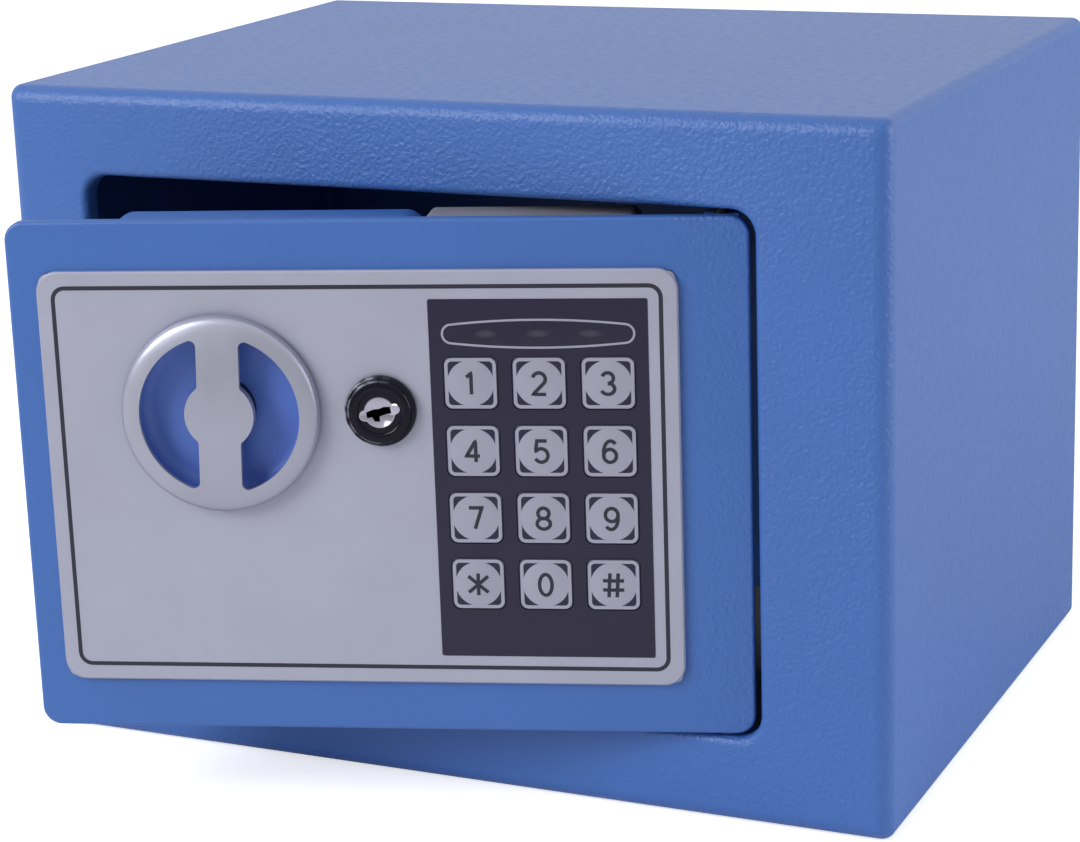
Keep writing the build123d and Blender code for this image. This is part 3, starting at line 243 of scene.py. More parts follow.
def silver_plastic(name, colour, rough):
    """Satin metallic plastic with a fine sparkle in its grain."""
    m = Shader(name, colour, rough, 0.35)
    m.mottle(0.03, 55.0)
    m.sheen_change(0.04, 150.0)
    m.bump(m.noise(2600.0, 2.0), 0.00001, 0.35)
    return m.material


def plain_plastic(name, colour, rough, grain=1500.0, depth=0.00002):
    """Moulded plastic or ink with a fine even grain."""
    m = Shader(name, colour, rough)
    m.mottle(0.06, 70.0)
    m.sheen_change(0.05, 200.0)
    m.bump(m.noise(grain, 2.0), depth, 0.4)
    return m.material


def glossy_film():
    """Dark printed film, smooth with the slight waviness of a bonded sheet."""
    wave_depth, grain_depth = 0.00004, 0.000006
    m = Shader("printed_film", (0.010, 0.006, 0.032), 0.32)
    m.set("Specular IOR Level", 0.45)
    m.mottle(0.05, 90.0)
    m.bump(m.noise(90.0, 1.0), wave_depth, 0.25)
    m.bump(m.noise(1800.0, 1.0), grain_depth, 0.3)
    return m.material


def metal(name, colour, rough):
    """Bare or plated metal with fine grain."""
    m = Shader(name, colour, rough, 1.0)
    m.mottle(0.06, 140.0)
    m.sheen_change(min(0.06, rough * 0.5), 260.0)
    m.bump(m.noise(1500.0, 3.0, 0.6), 0.000008, 0.5)
    return m.material


def felt_cloth():
    """Dark felt with a fuzzy nap."""
    m = Shader("needled_felt", (0.012, 0.012, 0.016), 0.95)
    m.mottle(0.35, 700.0)
    m.bump(m.noise(900.0, 4.0, 0.7), 0.0004, 0.8)
    m.set("Sheen Weight", 0.4)
    m.set("Sheen Roughness", 0.6)
    return m.material


def smoked_lens():
    """Dark lens through which the three lamps behind it show as faint ovals."""
    m = Shader("smoked_lens", (0.008, 0.005, 0.028), 0.16)
    m.set("Specular IOR Level", 0.45)
    middle = door_middle("lamps")
    half_w, half_h, pitch = 0.0025, 0.0009, 0.012
    along, upward = m.reach(middle, ALONG), m.reach(middle, UP)
    nearest = m.node("ShaderNodeClamp")
    m.feed(nearest.inputs["Value"], m.maths("ROUND", m.maths("DIVIDE", along, pitch)))
    m.feed(nearest.inputs["Min"], -1.0)
    m.feed(nearest.inputs["Max"], 1.0)
    beside = m.maths("SUBTRACT", along, m.maths("MULTIPLY", nearest.outputs["Result"], pitch))
    across = m.square(m.maths("DIVIDE", beside, half_w))
    above = m.square(m.maths("DIVIDE", upward, half_h))
    glow = m.span(m.maths("ADD", across, above), 1.0, 0.0, 0.1, 1.3)
    cloud, lamp = (0.012, 0.009, 0.034), (0.040, 0.038, 0.062)
    dark = m.mix(m.span(m.noise(400.0, 2.0), 0.0, 1.0), m.colour, cloud)
    m.set("Base Color", m.mix(glow, dark, lamp))
    m.sheen_change(0.03, 200.0)
    m.bump(m.noise(120.0, 1.0), 0.00003, 0.3)
    return m.material


def black_chrome():
    """Near-black plating of the lock's bezel, with a painted highlight of bright metal along its shoulder
    and rim on the left side.
    """
    m = Shader("black_chrome", (0.004, 0.003, 0.012), 0.20)
    m.sheen_change(0.04, 500.0)
    middle = door_middle("lock_housing")
    radius = m.away(middle)
    shoulder_r, rim_r = 0.0074, 0.00825
    # Painted highlight: bright metal rings along the shoulder and rim, on the left side only where the
    # key light falls, broken into patches.
    shoulder = m.near(radius, shoulder_r, 1.0, 0.0, 0.00005, 0.00028)
    rim = m.near(radius, rim_r, 0.8, 0.0, 0.0001, 0.0004)
    left = m.span(m.reach(middle, ALONG), 1.0, 0.0, -0.005, 0.003)
    patches = m.span(m.noise(420.0, 3.0, 0.6), 0.0, 1.0, 0.42, 0.62)
    painted_highlight = m.maths("MULTIPLY", m.maths("MULTIPLY", m.maths("MAXIMUM", shoulder, rim), left), patches)
    # Colour of the painted highlight.
    bright = (0.42, 0.42, 0.52)
    m.set("Base Color", m.mix(painted_highlight, m.colour, bright))
    m.set("Metallic", m.maths("MULTIPLY", painted_highlight, 0.8))
    m.set("Specular IOR Level", 0.2)
    m.bump(m.noise(1800.0, 2.0), 0.000006, 0.3)
    return m.material


def polished_plug():
    """Bright plug with a slightly hollow turned face."""
    m = Shader("polished_plug", (0.46, 0.44, 0.53), 0.16, 1.0)
    m.mottle(0.08, 300.0)
    hollow = 70.0
    radius = m.away(door_middle("lock_plug"))
    m.bump(m.maths("POWER", radius, 2.0), hollow)
    m.bump(m.noise(1500.0, 3.0, 0.6), 0.000008, 0.4)
    return m.material


def satin_knob():
    """Satin silver of the knob, its face very slightly crowned."""
    m = Shader("knob_silver", (0.375, 0.385, 0.475), 0.36, 0.55)
    m.mottle(0.04, 55.0)
    m.sheen_change(0.05, 120.0)
    crown = 4.2
    radius = m.away(door_middle("knob_handle"))
    m.bump(m.maths("MULTIPLY", m.maths("POWER", radius, 2.0), -1.0), crown)
    m.bump(m.noise(2600.0, 2.0), 0.00001, 0.35)
    return m.material


def circuit_green():
    """Green lacquered board."""
    m = Shader("circuit_board", (0.02, 0.12, 0.05), 0.4)
    m.mottle(0.15, 500.0)
    m.bump(m.noise(700.0, 2.0), 0.00003, 0.4)
    return m.material


FINISH = {
    "blue_paint": powder_coat("powder_coat_blue", (0.046, 0.139, 0.440)),
    # Knob cup: lighter and a little more purple than the case blue; the extra lightness is painted light
    # that offsets the shade in the knob's recess.
    "cup_blue_painted_light": powder_coat("cup_blue_painted_light", (0.090, 0.190, 0.640)),
    "black_oxide": metal("black_oxide", (0.02, 0.02, 0.025), 0.45),
    "felt": felt_cloth(),
    "brass_washer": metal("brass", (0.72, 0.52, 0.24), 0.32),
    "bright_steel": metal("ground_steel", (0.60, 0.60, 0.61), 0.25),
    "zinc_plate": metal("zinc_plate", (0.55, 0.56, 0.58), 0.38),
    "coil_steel": metal("coil_frame", (0.42, 0.41, 0.38), 0.42),
    "bolt_chrome": metal("bolt_chrome", (0.68, 0.68, 0.70), 0.16),
    "plug_chrome": polished_plug(),
    "fascia_silver": silver_plastic("fascia_silver", (0.39, 0.40, 0.505), 0.45),
    "knob_silver": satin_knob(),
    "film_dark": glossy_film(),
    "key_print": silver_plastic("key_print_silver", (0.36, 0.36, 0.455), 0.42),
    "smoked_lens": smoked_lens(),
    "lamp_lens": plain_plastic("lamp_lens", (0.45, 0.42, 0.40), 0.3),
    "key_rubber": plain_plastic("key_rubber", (0.05, 0.05, 0.055), 0.75),
    "board_green": circuit_green(),
    "bezel_black": black_chrome(),
    "box_grey": plain_plastic("box_grey", (0.27, 0.27, 0.32), 0.5, 1100.0, 0.00003),
    "cell_wrap": plain_plastic("cell_wrap", (0.03, 0.05, 0.09), 0.35),
    "reset_red": plain_plastic("reset_red", (0.45, 0.03, 0.02), 0.4),
    "digit_ink": plain_plastic("digit_ink", (0.012, 0.011, 0.028), 0.5),
}

SLOTS = {part["node"]: part["material_slot"] for part in frame["record"]["subparts"]}
# The hinge pins and washer are near-black: painted shade for the dark gap round the hinge. The knob's
# shaft is near-black too, for the dark ring round the hub.
OTHER_FINISH = {"hinge_pin_top": "black_oxide", "hinge_pin_bottom": "black_oxide",
                "hinge_washer": "key_rubber", "knob_shaft": "black_oxide", "knob_cup": "cup_blue_painted_light"}


def paint(node, finish):
    """Gives a CAD node its material."""
    mesh = NODES[node].data
    mesh.materials.clear()
    mesh.materials.append(FINISH[finish])


def paint_nodes():
    """Paints each node by its slot, but the keys as film and a few others as OTHER_FINISH says."""
    for node, slot in SLOTS.items():
        paint(node, "film_dark" if node.startswith("key_") else OTHER_FINISH.get(node, slot))


# Shapes, drawn in millimetres on the shut door: X to the hinge, Y to the back, Z up

MITRE_LIMIT = 0.3


class Form:
    """A mesh under construction."""

    def __init__(self):
        self.mesh = bmesh.new()

    def loop(self, points):
        return [self.mesh.verts.new(p) for p in points]

    def bridge(self, a, b, closed=True):
        count = len(a)
        for i in range(count if closed else count - 1):
            j = (i + 1) % count
            self.mesh.faces.new((a[i], a[j], b[j], b[i]))

    def fill(self, *loops):
        """Flat face inside the first loop and outside the others."""
        edges = []
        for ring in loops:
            for i, vert in enumerate(ring):
                edge = self.mesh.edges.get((vert, ring[i - 1]))
                edges.append(edge or self.mesh.edges.new((vert, ring[i - 1])))
        bmesh.ops.triangle_fill(self.mesh, use_beauty=True, use_dissolve=False, edges=edges)

    def prism(self, points, y_front, y_back, hole=None):
        """Straight slab between two depths, with an optional hole of its own outline."""
        front = self.loop((x, y_front, z) for x, z in points)
        back = self.loop((x, y_back, z) for x, z in points)
        self.bridge(front, back)
        if hole is None:
            self.fill(front)
            self.fill(back)
            return
        inner_front = self.loop((x, y_front, z) for x, z in hole)
        inner_back = self.loop((x, y_back, z) for x, z in hole)
        self.bridge(inner_back, inner_front)
        self.fill(front, inner_front)
        self.fill(back, inner_back)

    def turn(self, cx, cz, outline, steps):
        """Turned surface about the line through cx, cz along Y, from points of radius and y."""
        angles = [2 * pi * i / steps for i in range(steps)]
        last = None
        for radius, y in outline:
            if radius == 0:
                tip = self.mesh.verts.new((cx, y, cz))
                if last is not None:
                    for i in range(steps):
                        self.mesh.faces.new((last[i - 1], last[i], tip))
                last = tip
                continue
            ring = self.loop((cx + radius * cos(a), y, cz + radius * sin(a)) for a in angles)
            if isinstance(last, list):
                self.bridge(last, ring)
            elif last is not None:
                for i in range(steps):
                    self.mesh.faces.new((ring[i], ring[i - 1], last))
            last = ring

    def stroke(self, points, width, depth, closed=False):
        """Ribbon along a line; depth gives the y of each x, z."""
        count = len(points)
        left, right = [], []
        for i, (x, z) in enumerate(points):
            before = points[i - 1] if closed or i > 0 else None
            after = points[(i + 1) % count] if closed or i < count - 1 else None
            sides = []
            for a, b in ((before, (x, z)), ((x, z), after)):
                if a is None or b is None:
                    continue
                run = max(hypot(b[0] - a[0], b[1] - a[1]), 1e-9)
                sides.append(((a[1] - b[1]) / run, (b[0] - a[0]) / run))
            nx = sum(s[0] for s in sides) / len(sides)
            nz = sum(s[1] for s in sides) / len(sides)
            reach = width / 2 / max(nx * nx + nz * nz, MITRE_LIMIT)
            left.append((x + nx * reach, z + nz * reach))
            right.append((x - nx * reach, z - nz * reach))
        a = self.loop((x, depth(x, z), z) for x, z in left)
        b = self.loop((x, depth(x, z), z) for x, z in right)
        self.bridge(a, b, closed)

    def place(self, name, slot, body, smooth=30.0, stand=DOOR):
        """Turns the mesh into a named piece that rides on a body, carried from the drawing by stand."""
        bmesh.ops.recalc_face_normals(self.mesh, faces=self.mesh.faces)
        for edge in self.mesh.edges:
            edge.smooth = not (edge.is_manifold and edge.calc_face_angle(0) > radians(smooth))
        for face in self.mesh.faces:
            face.smooth = True
        data = bpy.data.meshes.new(name)
        self.mesh.to_mesh(data)
        self.mesh.free()
        data.transform(stand @ Matrix.Scale(MM, 4))
        data.materials.append(FINISH[slot])
        made = bpy.data.objects.new(name, data)
        bpy.context.scene.collection.objects.link(made)
        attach(made, body)
        return made


def arc(cx, cz, rx, rz, start, end, steps=18):
    """Points on an ellipse between two angles in degrees."""
    angles = [radians(start + (end - start) * i / steps) for i in range(steps + 1)]
    return [(cx + rx * cos(a), cz + rz * sin(a)) for a in angles]


def turned(points, cx, cz, angle):
    """Points round the origin, turned by an angle and then carried to cx, cz."""
    c, s = cos(angle), sin(angle)
    return [(cx + c * u - s * v, cz + s * u + c * v) for u, v in points]


def rounded_loop(cx, cz, width, height, radius, steps=6):
    """Rectangle with round corners."""
    points = []
    for sx, sz, start in ((1, 1, 0), (-1, 1, 90), (-1, -1, 180), (1, -1, 270)):
        x = cx + sx * (width / 2 - radius)
        z = cz + sz * (height / 2 - radius)
        points += arc(x, z, radius, radius, start, start + 90, steps)
    return points


def circle_loop(cx, cz, radius, steps):
    return arc(cx, cz, radius, radius, 0, 360, steps)[:-1]


def spot(node):
    """Corners of a door node in millimetres, with the door shut."""
    low, high = shut_box(node)
    return low / MM, high / MM


# Fascia line and the window's outline, in millimetres

FASCIA_LOW, FASCIA_HIGH = spot("fascia")
FASCIA_Y = FASCIA_LOW.y
FASCIA_W = FASCIA_HIGH.x - FASCIA_LOW.x
FASCIA_H = FASCIA_HIGH.z - FASCIA_LOW.z
FASCIA_MID = (FASCIA_LOW + FASCIA_HIGH) / 2
LINE_INSET = 3.45
LINE_W = 1.0
LINE_R = 3.3
LINE_RAISE = 0.15
LINE_PROUD = 0.02
LINE_DEEP = 0.1


def fascia_line():
    """Dark print that fills and covers the fine groove near the edge of the fascia."""
    cx, cz = FASCIA_MID.x, FASCIA_MID.z + LINE_RAISE
    outer_w, outer_h = FASCIA_W - 2 * LINE_INSET, FASCIA_H - 2 * LINE_INSET
    outer = rounded_loop(cx, cz, outer_w, outer_h, LINE_R)
    inner = rounded_loop(cx, cz, outer_w - 2 * LINE_W, outer_h - 2 * LINE_W, LINE_R - LINE_W)
    form = Form()
    form.prism(outer, FASCIA_Y - LINE_PROUD, FASCIA_Y + LINE_DEEP, inner)
    form.place("fascia_line", "digit_ink", "door")


WINDOW_END_DROP = 1.05
WINDOW_LINE_OUT = 0.28
WINDOW_LINE_IN = 0.22
WINDOW_LINE_PROUD = 0.04
WINDOW_LINE_DEEP = 0.08


def lens_loop(grow):
    """Outline of the lamp window: long, with rounded ends, wider in the middle."""
    low, high = spot("lamp_window")
    mid = (low + high) / 2
    half_w, half_h = (high.x - low.x) / 2 + grow, (high.z - low.z) / 2 + grow
    end_h = half_h - WINDOW_END_DROP
    shoulder = half_w - end_h
    sag = half_h - end_h
    radius = (shoulder * shoulder + sag * sag) / (2 * sag)
    spread = atan2(shoulder, radius - sag) * 180 / pi
    top = arc(0, half_h - radius, radius, radius, 90 - spread, 90 + spread, 24)
    left = arc(-shoulder, 0, end_h, end_h, 90, 270, 14)
    bottom = arc(0, radius - half_h, radius, radius, 270 - spread, 270 + spread, 24)
    right = arc(shoulder, 0, end_h, end_h, -90, 90, 14)
    whole = top + left[1:-1] + bottom + right[1:-1]
    return [(mid.x + x, mid.z + z) for x, z in whole]


def window_outline():
    """Fine silver line round the lamp window."""
    front = spot("lamp_window")[0].y
    form = Form()
    form.prism(lens_loop(WINDOW_LINE_OUT), front - WINDOW_LINE_PROUD, front + WINDOW_LINE_DEEP,
               lens_loop(-WINDOW_LINE_IN))
    form.place("window_outline", "key_print", "door")


# Print on the keys, in millimetres

def digit_strokes():
    """Strokes of each key's number, in a box from -1 to 1."""
    slope = [(-0.62, 0.62), (-0.2, 0.78), (0.12, 1.0)]
    seven = [(0.95 - 1.1 * t + 0.02 * t * t, 1.0 - 2.0 * t) for t in [i / 8 for i in range(9)]]
    return {
        "key_1": [slope + [(0.12, -1.0)]],
        "key_2": [arc(0, 0.42, 0.95, 0.58, 165, -38) + [(-0.95, -1.0), (1.0, -1.0)]],
        "key_3": [arc(-0.05, 0.5, 0.85, 0.5, 160, -90), arc(-0.05, -0.48, 1.0, 0.52, 90, -160)],
        "key_4": [[(0.4, -1.0), (0.4, 1.0), (-1.0, -0.42), (1.0, -0.42)]],
        "key_5": [[(0.85, 1.0), (-0.62, 1.0), (-0.85, 0.02)] + arc(-0.02, -0.36, 1.0, 0.64, 138, -152)],
        "key_6": [arc(0, -0.38, 0.95, 0.62, 0, 360), arc(0.12, -0.1, 1.07, 1.1, 48, 195)],
        "key_7": [[(-1.0, 1.0)] + seven],
        "key_8": [arc(0, 0.5, 0.84, 0.5, 0, 360), arc(0, -0.48, 1.0, 0.52, 0, 360)],
        "key_9": [arc(0, 0.38, 0.95, 0.62, 0, 360), arc(-0.12, 0.1, 1.07, 1.1, 228, 375)],
        "key_0": [arc(0, 0, 0.95, 1.0, 0, 360, 32)],
        "key_star": [[(0, 1.05), (0, -1.05)], [(-1.5, 0.78), (1.5, -0.78)], [(1.5, 0.78), (-1.5, -0.78)]],
        "key_hash": [[(-0.5, 1.15), (-0.74, -1.15)], [(0.74, 1.15), (0.5, -1.15)],
                     [(-1.6, 0.44), (1.6, 0.44)], [(-1.6, -0.44), (1.6, -0.44)]],
    }


def divided(points, closed, most=0.4):
    """The same line with its long runs cut into short ones, corners kept."""
    ends = points[1:] + points[:1] if closed else points[1:]
    line = []
    for (ax, az), (bx, bz) in zip(points, ends):
        count = max(1, int(hypot(bx - ax, bz - az) / most + 0.5))
        line += [(ax + (bx - ax) * i / count, az + (bz - az) * i / count) for i in range(count)]
    return line if closed else line + [points[-1]]


DIGIT_W = 3.1
DIGIT_H = 5.1
DIGIT_STROKE = 0.85
PRINT_SQUARE = 12.0
PRINT_LINE = 0.8
PRINT_CORNER = 1.7
PRINT_PROUD = 0.03
PRINT_T = 0.05
DISC_R = 5.45
DISC_DOME = 0.42
DISC_EDGE_T = 0.04
DISC_PROUD = 0.004
DISC_RINGS = 8
INK_PROUD = 0.03
INK_STEP = 0.004


def key_prints():
    """Silver outline and domed disc on each key, with its number."""
    for name, strokes in digit_strokes().items():
        low, high = spot(name)
        cx, cz = (low.x + high.x) / 2, (low.z + high.z) / 2
        front = low.y - PRINT_PROUD

        def dome(x, z, lift=0.0):
            share = min(1.0, hypot(x - cx, z - cz) / DISC_R)
            return front - DISC_DOME * (1 - share * share) - lift

        form = Form()
        inside = PRINT_SQUARE - 2 * PRINT_LINE
        outer = rounded_loop(cx, cz, PRINT_SQUARE, PRINT_SQUARE, PRINT_CORNER)
        inner = rounded_loop(cx, cz, inside, inside, PRINT_CORNER - PRINT_LINE)
        form.prism(outer, front, front + PRINT_T, inner)
        radii = [DISC_R * i / DISC_RINGS for i in range(DISC_RINGS, -1, -1)]
        form.turn(cx, cz, [(DISC_R, front + DISC_EDGE_T)]
                  + [(r, dome(cx + r, cz) - DISC_PROUD) for r in radii], 56)
        form.place(name + "_print", "key_print", name)
        ink = Form()
        for order, line in enumerate(strokes):
            closed = len(line) > 4 and hypot(line[0][0] - line[-1][0], line[0][1] - line[-1][1]) < 1e-6
            corners = line[:-1] if closed else line
            points = [(cx + x * DIGIT_W / 2, cz + z * DIGIT_H / 2) for x, z in corners]
            lift = INK_PROUD + INK_STEP * order
            ink.stroke(divided(points, closed), DIGIT_STROKE, lambda x, z: dome(x, z, lift), closed)
        ink.place(name + "_number", "digit_ink", name)


# Knob, in millimetres; the roll of its ring goes by the distance in from the rim and the drop

KNOB_TURN = radians(1.7)
KNOB_PLATE_T = 1.3
KNOB_LAP = 0.1
KNOB_STEPS = 120
KNOB_FACE_R = 19.6
KNOB_ROLL = [(3.9, 0.0), (2.8, 0.04), (1.9, 0.11), (1.2, 0.22), (0.75, 0.38), (0.4, 0.64), (0.18, 0.98),
             (0.05, 1.4), (0.0, 1.9)]
KNOB_HUB_R = 8.15
KNOB_SKIRT_R = 21.6


def face_loops(node):
    """Outlines of a door node's flat front face: lists of x, z, the widest first."""
    mesh = NODES[node].data
    points = [(SHUT @ v.co) / MM for v in mesh.vertices]
    front = min(p.y for p in points)
    after = {}
    for face in mesh.polygons:
        if all(abs(points[i].y - front) < 1e-3 for i in face.vertices):
            keys = [(round(points[i].x, 3), round(points[i].z, 3)) for i in face.vertices]
            for a, b in zip(keys, keys[1:] + keys[:1]):
                if (b, a) in after:
                    del after[b, a]
                else:
                    after[a, b] = True
    follow = dict(after.keys())
    loops = []
    while follow:
        start, point = follow.popitem()
        ring = [start]
        while point != start:
            ring.append(point)
            point = follow.pop(point)
        loops.append(ring)
    return sorted(loops, key=lambda ring: -max(p[0] for p in ring) + min(p[0] for p in ring))


def knob():
    """Ring that rolls over softly to its rim, with the bar and hub between two finger windows."""
    low, high = spot("knob_handle")
    cx, cz, front, back = (low.x + high.x) / 2, (low.z + high.z) / 2, low.y, high.y
    rim = (high.x - low.x) / 2
    windows = [turned([(x - cx, z - cz) for x, z in ring], cx, cz, -KNOB_TURN)
               for ring in face_loops("knob_handle")[1:3]]
    form = Form()
    plate_back = front + KNOB_PLATE_T
    outer = form.loop((x, front, z) for x, z in circle_loop(cx, cz, KNOB_FACE_R, KNOB_STEPS))
    inner = form.loop((x, plate_back, z) for x, z in circle_loop(cx, cz, KNOB_SKIRT_R, KNOB_STEPS))
    mouths, backs = [], []
    for ring in windows:
        mouths.append(form.loop((x, front, z) for x, z in ring))
        backs.append(form.loop((x, plate_back, z) for x, z in ring))
        form.bridge(mouths[-1], backs[-1])
    form.fill(outer, *mouths)
    form.fill(inner, *backs)
    form.turn(cx, cz, [(rim - inset, front + drop) for inset, drop in KNOB_ROLL]
              + [(rim, back), (KNOB_SKIRT_R, back), (KNOB_SKIRT_R, plate_back)], KNOB_STEPS)
    hub_front = plate_back - KNOB_LAP
    form.turn(cx, cz, [(0, hub_front), (KNOB_HUB_R, hub_front), (KNOB_HUB_R, back), (0, back)], 64)
    bmesh.ops.remove_doubles(form.mesh, verts=form.mesh.verts, dist=1e-4)
    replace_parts(form.place("knob_face", "knob_silver", "knob", 35.0), "knob_handle")


# Override lock, in millimetres

KEYWAY_TILT = radians(13.0)
KEYWAY_LIP = 0.3
KEYWAY_DEPTH = 9.0
EAR_REACH = 4.9
EAR_HALF = 1.3
PLUG_R = 3.65
PLUG_STEPS = 96
PLUG_BEVEL = 0.22
PLUG_BEVEL_T = 0.16
PLUG_FACE_T = 0.45
PLUG_TAIL_LAP = 0.5
PLUG_TAIL_R = 0.2
KEYWAY = [(-3.1, -0.6), (-1.9, -0.65), (-1.6, -1.75), (-0.4, -2.1), (-0.1, -0.85), (1.2, -0.7),
          (2.75, -0.7), (2.85, 0.85), (1.4, 1.15), (0.2, 0.95), (-1.2, 1.1), (-3.0, 0.8)]
BEZEL_MOUTH_R = EAR_REACH + 0.1
# Outline of the bezel: the radius and the drop from its face, and at the rim the distance in and the drop
BEZEL_FACE = [(BEZEL_MOUTH_R, 0.55), (EAR_REACH + 0.25, 0.22), (5.4, 0.06), (5.7, 0.0), (6.9, 0.04),
              (7.2, 0.16), (7.4, 0.38), (7.5, 0.7), (7.62, 0.78), (7.9, 0.8), (8.15, 0.95)]
BEZEL_RIM = [(0.08, 1.25), (0.0, 1.6)]
BEZEL_SEAT_BEVEL = 0.15
BEZEL_BODY_R = 6.2
LEDGE_OUT_R = EAR_REACH + 0.12
LEDGE_IN_R = PLUG_R + 0.05
LEDGE_FRONT = 0.45
LEDGE_BACK = 0.9


def plug_outline(shrink):
    """Circle with an ear at each end of the keyway, as points from its centre."""
    points = []
    ear, reach, body = EAR_HALF - shrink, EAR_REACH - shrink, PLUG_R - shrink
    hub = reach - ear
    for i in range(PLUG_STEPS):
        a = 2 * pi * i / PLUG_STEPS
        across, along = abs(sin(a)), abs(cos(a))
        edge = ear / max(across, 1e-6)
        if edge * along > hub:
            edge = hub * along + sqrt(max(ear * ear - hub * hub * across * across, 0.0))
        radius = max(body, edge)
        points.append((radius * cos(a), radius * sin(a)))
    return points


def lock_bezel():
    """Black bezel with a raised face inside its rim, and a ledge round the plug."""
    low, high = spot("lock_housing")
    cx, cz, y = (low.x + high.x) / 2, (low.z + high.z) / 2, low.y
    rim = (high.x - low.x) / 2
    form = Form()
    form.turn(cx, cz, [(BEZEL_MOUTH_R, high.y)]
              + [(radius, y + drop) for radius, drop in BEZEL_FACE]
              + [(rim - inset, y + drop) for inset, drop in BEZEL_RIM]
              + [(rim, FASCIA_Y - BEZEL_SEAT_BEVEL), (rim - BEZEL_SEAT_BEVEL, FASCIA_Y),
                 (BEZEL_BODY_R, FASCIA_Y), (BEZEL_BODY_R, high.y), (BEZEL_MOUTH_R, high.y)], 128)
    front, back = y + LEDGE_FRONT, y + LEDGE_BACK
    form.turn(cx, cz, [(LEDGE_IN_R, front), (LEDGE_OUT_R, front), (LEDGE_OUT_R, back),
                       (LEDGE_IN_R, back), (LEDGE_IN_R, front)], PLUG_STEPS)
    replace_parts(form.place("lock_bezel", "bezel_black", "door", 24.0), "lock_housing")


def lock_plug():
    """Bright plug with an ear at each end of its warded keyway, and the keyway's walls and floor
    near-black as painted shade for its depth.
    """
    low, high = spot("lock_housing")
    cx, cz = (low.x + high.x) / 2, (low.z + high.z) / 2
    plug_low, plug_high = spot("lock_plug")
    face = plug_low.y

    def ring(form, points, drop):
        return form.loop((x, face + drop, z) for x, z in turned(points, cx, cz, KEYWAY_TILT))

    form = Form()
    front = ring(form, plug_outline(PLUG_BEVEL), 0.0)
    shoulder = ring(form, plug_outline(0.0), PLUG_BEVEL_T)
    back = ring(form, plug_outline(0.0), PLUG_FACE_T)
    mouth = ring(form, KEYWAY, 0.0)
    lip = ring(form, KEYWAY, KEYWAY_LIP)
    form.fill(front, mouth)
    form.bridge(front, shoulder)
    form.bridge(shoulder, back)
    form.bridge(mouth, lip)
    form.turn(cx, cz, [(PLUG_R, face + PLUG_FACE_T), (PLUG_R, high.y)], 64)
    tail = rounded_loop(cx, cz, PLUG_R, PLUG_R, PLUG_TAIL_R)
    form.prism(tail, high.y - PLUG_TAIL_LAP, plug_high.y)
    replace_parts(form.place("lock_plug_face", "plug_chrome", "lock_plug", 24.0), "lock_plug")
    # The keyway's walls and floor in near-black: painted shade in the depth of the keyway.
    form = Form()
    mouth = ring(form, KEYWAY, KEYWAY_LIP)
    deep = ring(form, KEYWAY, KEYWAY_DEPTH)
    form.bridge(mouth, deep)
    form.fill(deep)
    form.place("lock_keyway", "black_oxide", "lock_plug", 24.0)


# Screws, springs, cells and the mat, in millimetres

def islands(node):
    """Lowest corner, highest corner and points of each separate solid in a node, with the door shut."""
    mesh = NODES[node].data
    keys = [tuple(round(c, 6) for c in v.co) for v in mesh.vertices]
    parent = {k: k for k in keys}

    def root(k):
        while parent[k] != k:
            parent[k] = parent[parent[k]]
            k = parent[k]
        return k

    for face in mesh.polygons:
        first = root(keys[face.vertices[0]])
        for index in face.vertices[1:]:
            parent[root(keys[index])] = first
    groups = {}
    for key in parent:
        groups.setdefault(root(key), []).append((SHUT @ Vector(key)) / MM)
    found = []
    for points in groups.values():
        low = Vector(min(p[i] for p in points) for i in range(3))
        high = Vector(max(p[i] for p in points) for i in range(3))
        found.append((low, high, points))
    return found


SCREW_HEAD_T = 1.4
SCREW_STEPS = 32
# Crown of a screw's head: shares of its radius, and drops in millimetres
SCREW_CROWN = [(0.86, 0.10), (0.97, 0.32), (1.0, 0.6), (1.0, SCREW_HEAD_T)]
# Shares of the head's radius
SCREW_FLAT = 0.68
SCREW_SHANK = 0.48
CROSS_MOUTH = (0.55, 0.13)
CROSS_FLOOR = (0.4, 0.08)
CROSS_DEPTH = 0.35
# Angles of the crosses, in radians
CROSS_START = 0.5
CROSS_STEP = 1.9


def cross(reach, half):
    """Plus sign, by the reach of its arms and half their width."""
    return [(reach, half), (half, half), (half, reach), (-half, reach), (-half, half), (-reach, half),
            (-reach, -half), (-half, -half), (-half, -reach), (half, -reach), (half, -half),
            (reach, -half)]


def cross_screws(node, body):
    """Domed heads with a cross recess, each turned its own way, on plain shanks."""
    form = Form()
    for index, (low, high, _) in enumerate(islands(node)):
        cx, cz, r = (low.x + high.x) / 2, (low.z + high.z) / 2, (high.x - low.x) / 2
        top, under = high.y, high.y - SCREW_HEAD_T
        angle = CROSS_START + CROSS_STEP * index
        flat = form.loop((x, top, z) for x, z in circle_loop(cx, cz, SCREW_FLAT * r, SCREW_STEPS))
        recess = []
        for (reach, half), drop in ((CROSS_MOUTH, 0.0), (CROSS_FLOOR, CROSS_DEPTH * r)):
            arms = turned(cross(reach * r, half * r), cx, cz, angle)
            recess.append(form.loop((x, top - drop, z) for x, z in arms))
        mouth, deep = recess
        form.fill(flat, mouth)
        form.bridge(mouth, deep)
        form.fill(deep)
        last = flat
        for share, drop in SCREW_CROWN:
            ring = form.loop((x, top - drop, z) for x, z in circle_loop(cx, cz, share * r, SCREW_STEPS))
            form.bridge(last, ring)
            last = ring
        shank = SCREW_SHANK * r
        form.turn(cx, cz, [(r, under), (shank, under), (shank, low.y), (0, low.y)], 24)
    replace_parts(form.place(node + "_cross", "zinc_plate", body, 35.0), node)


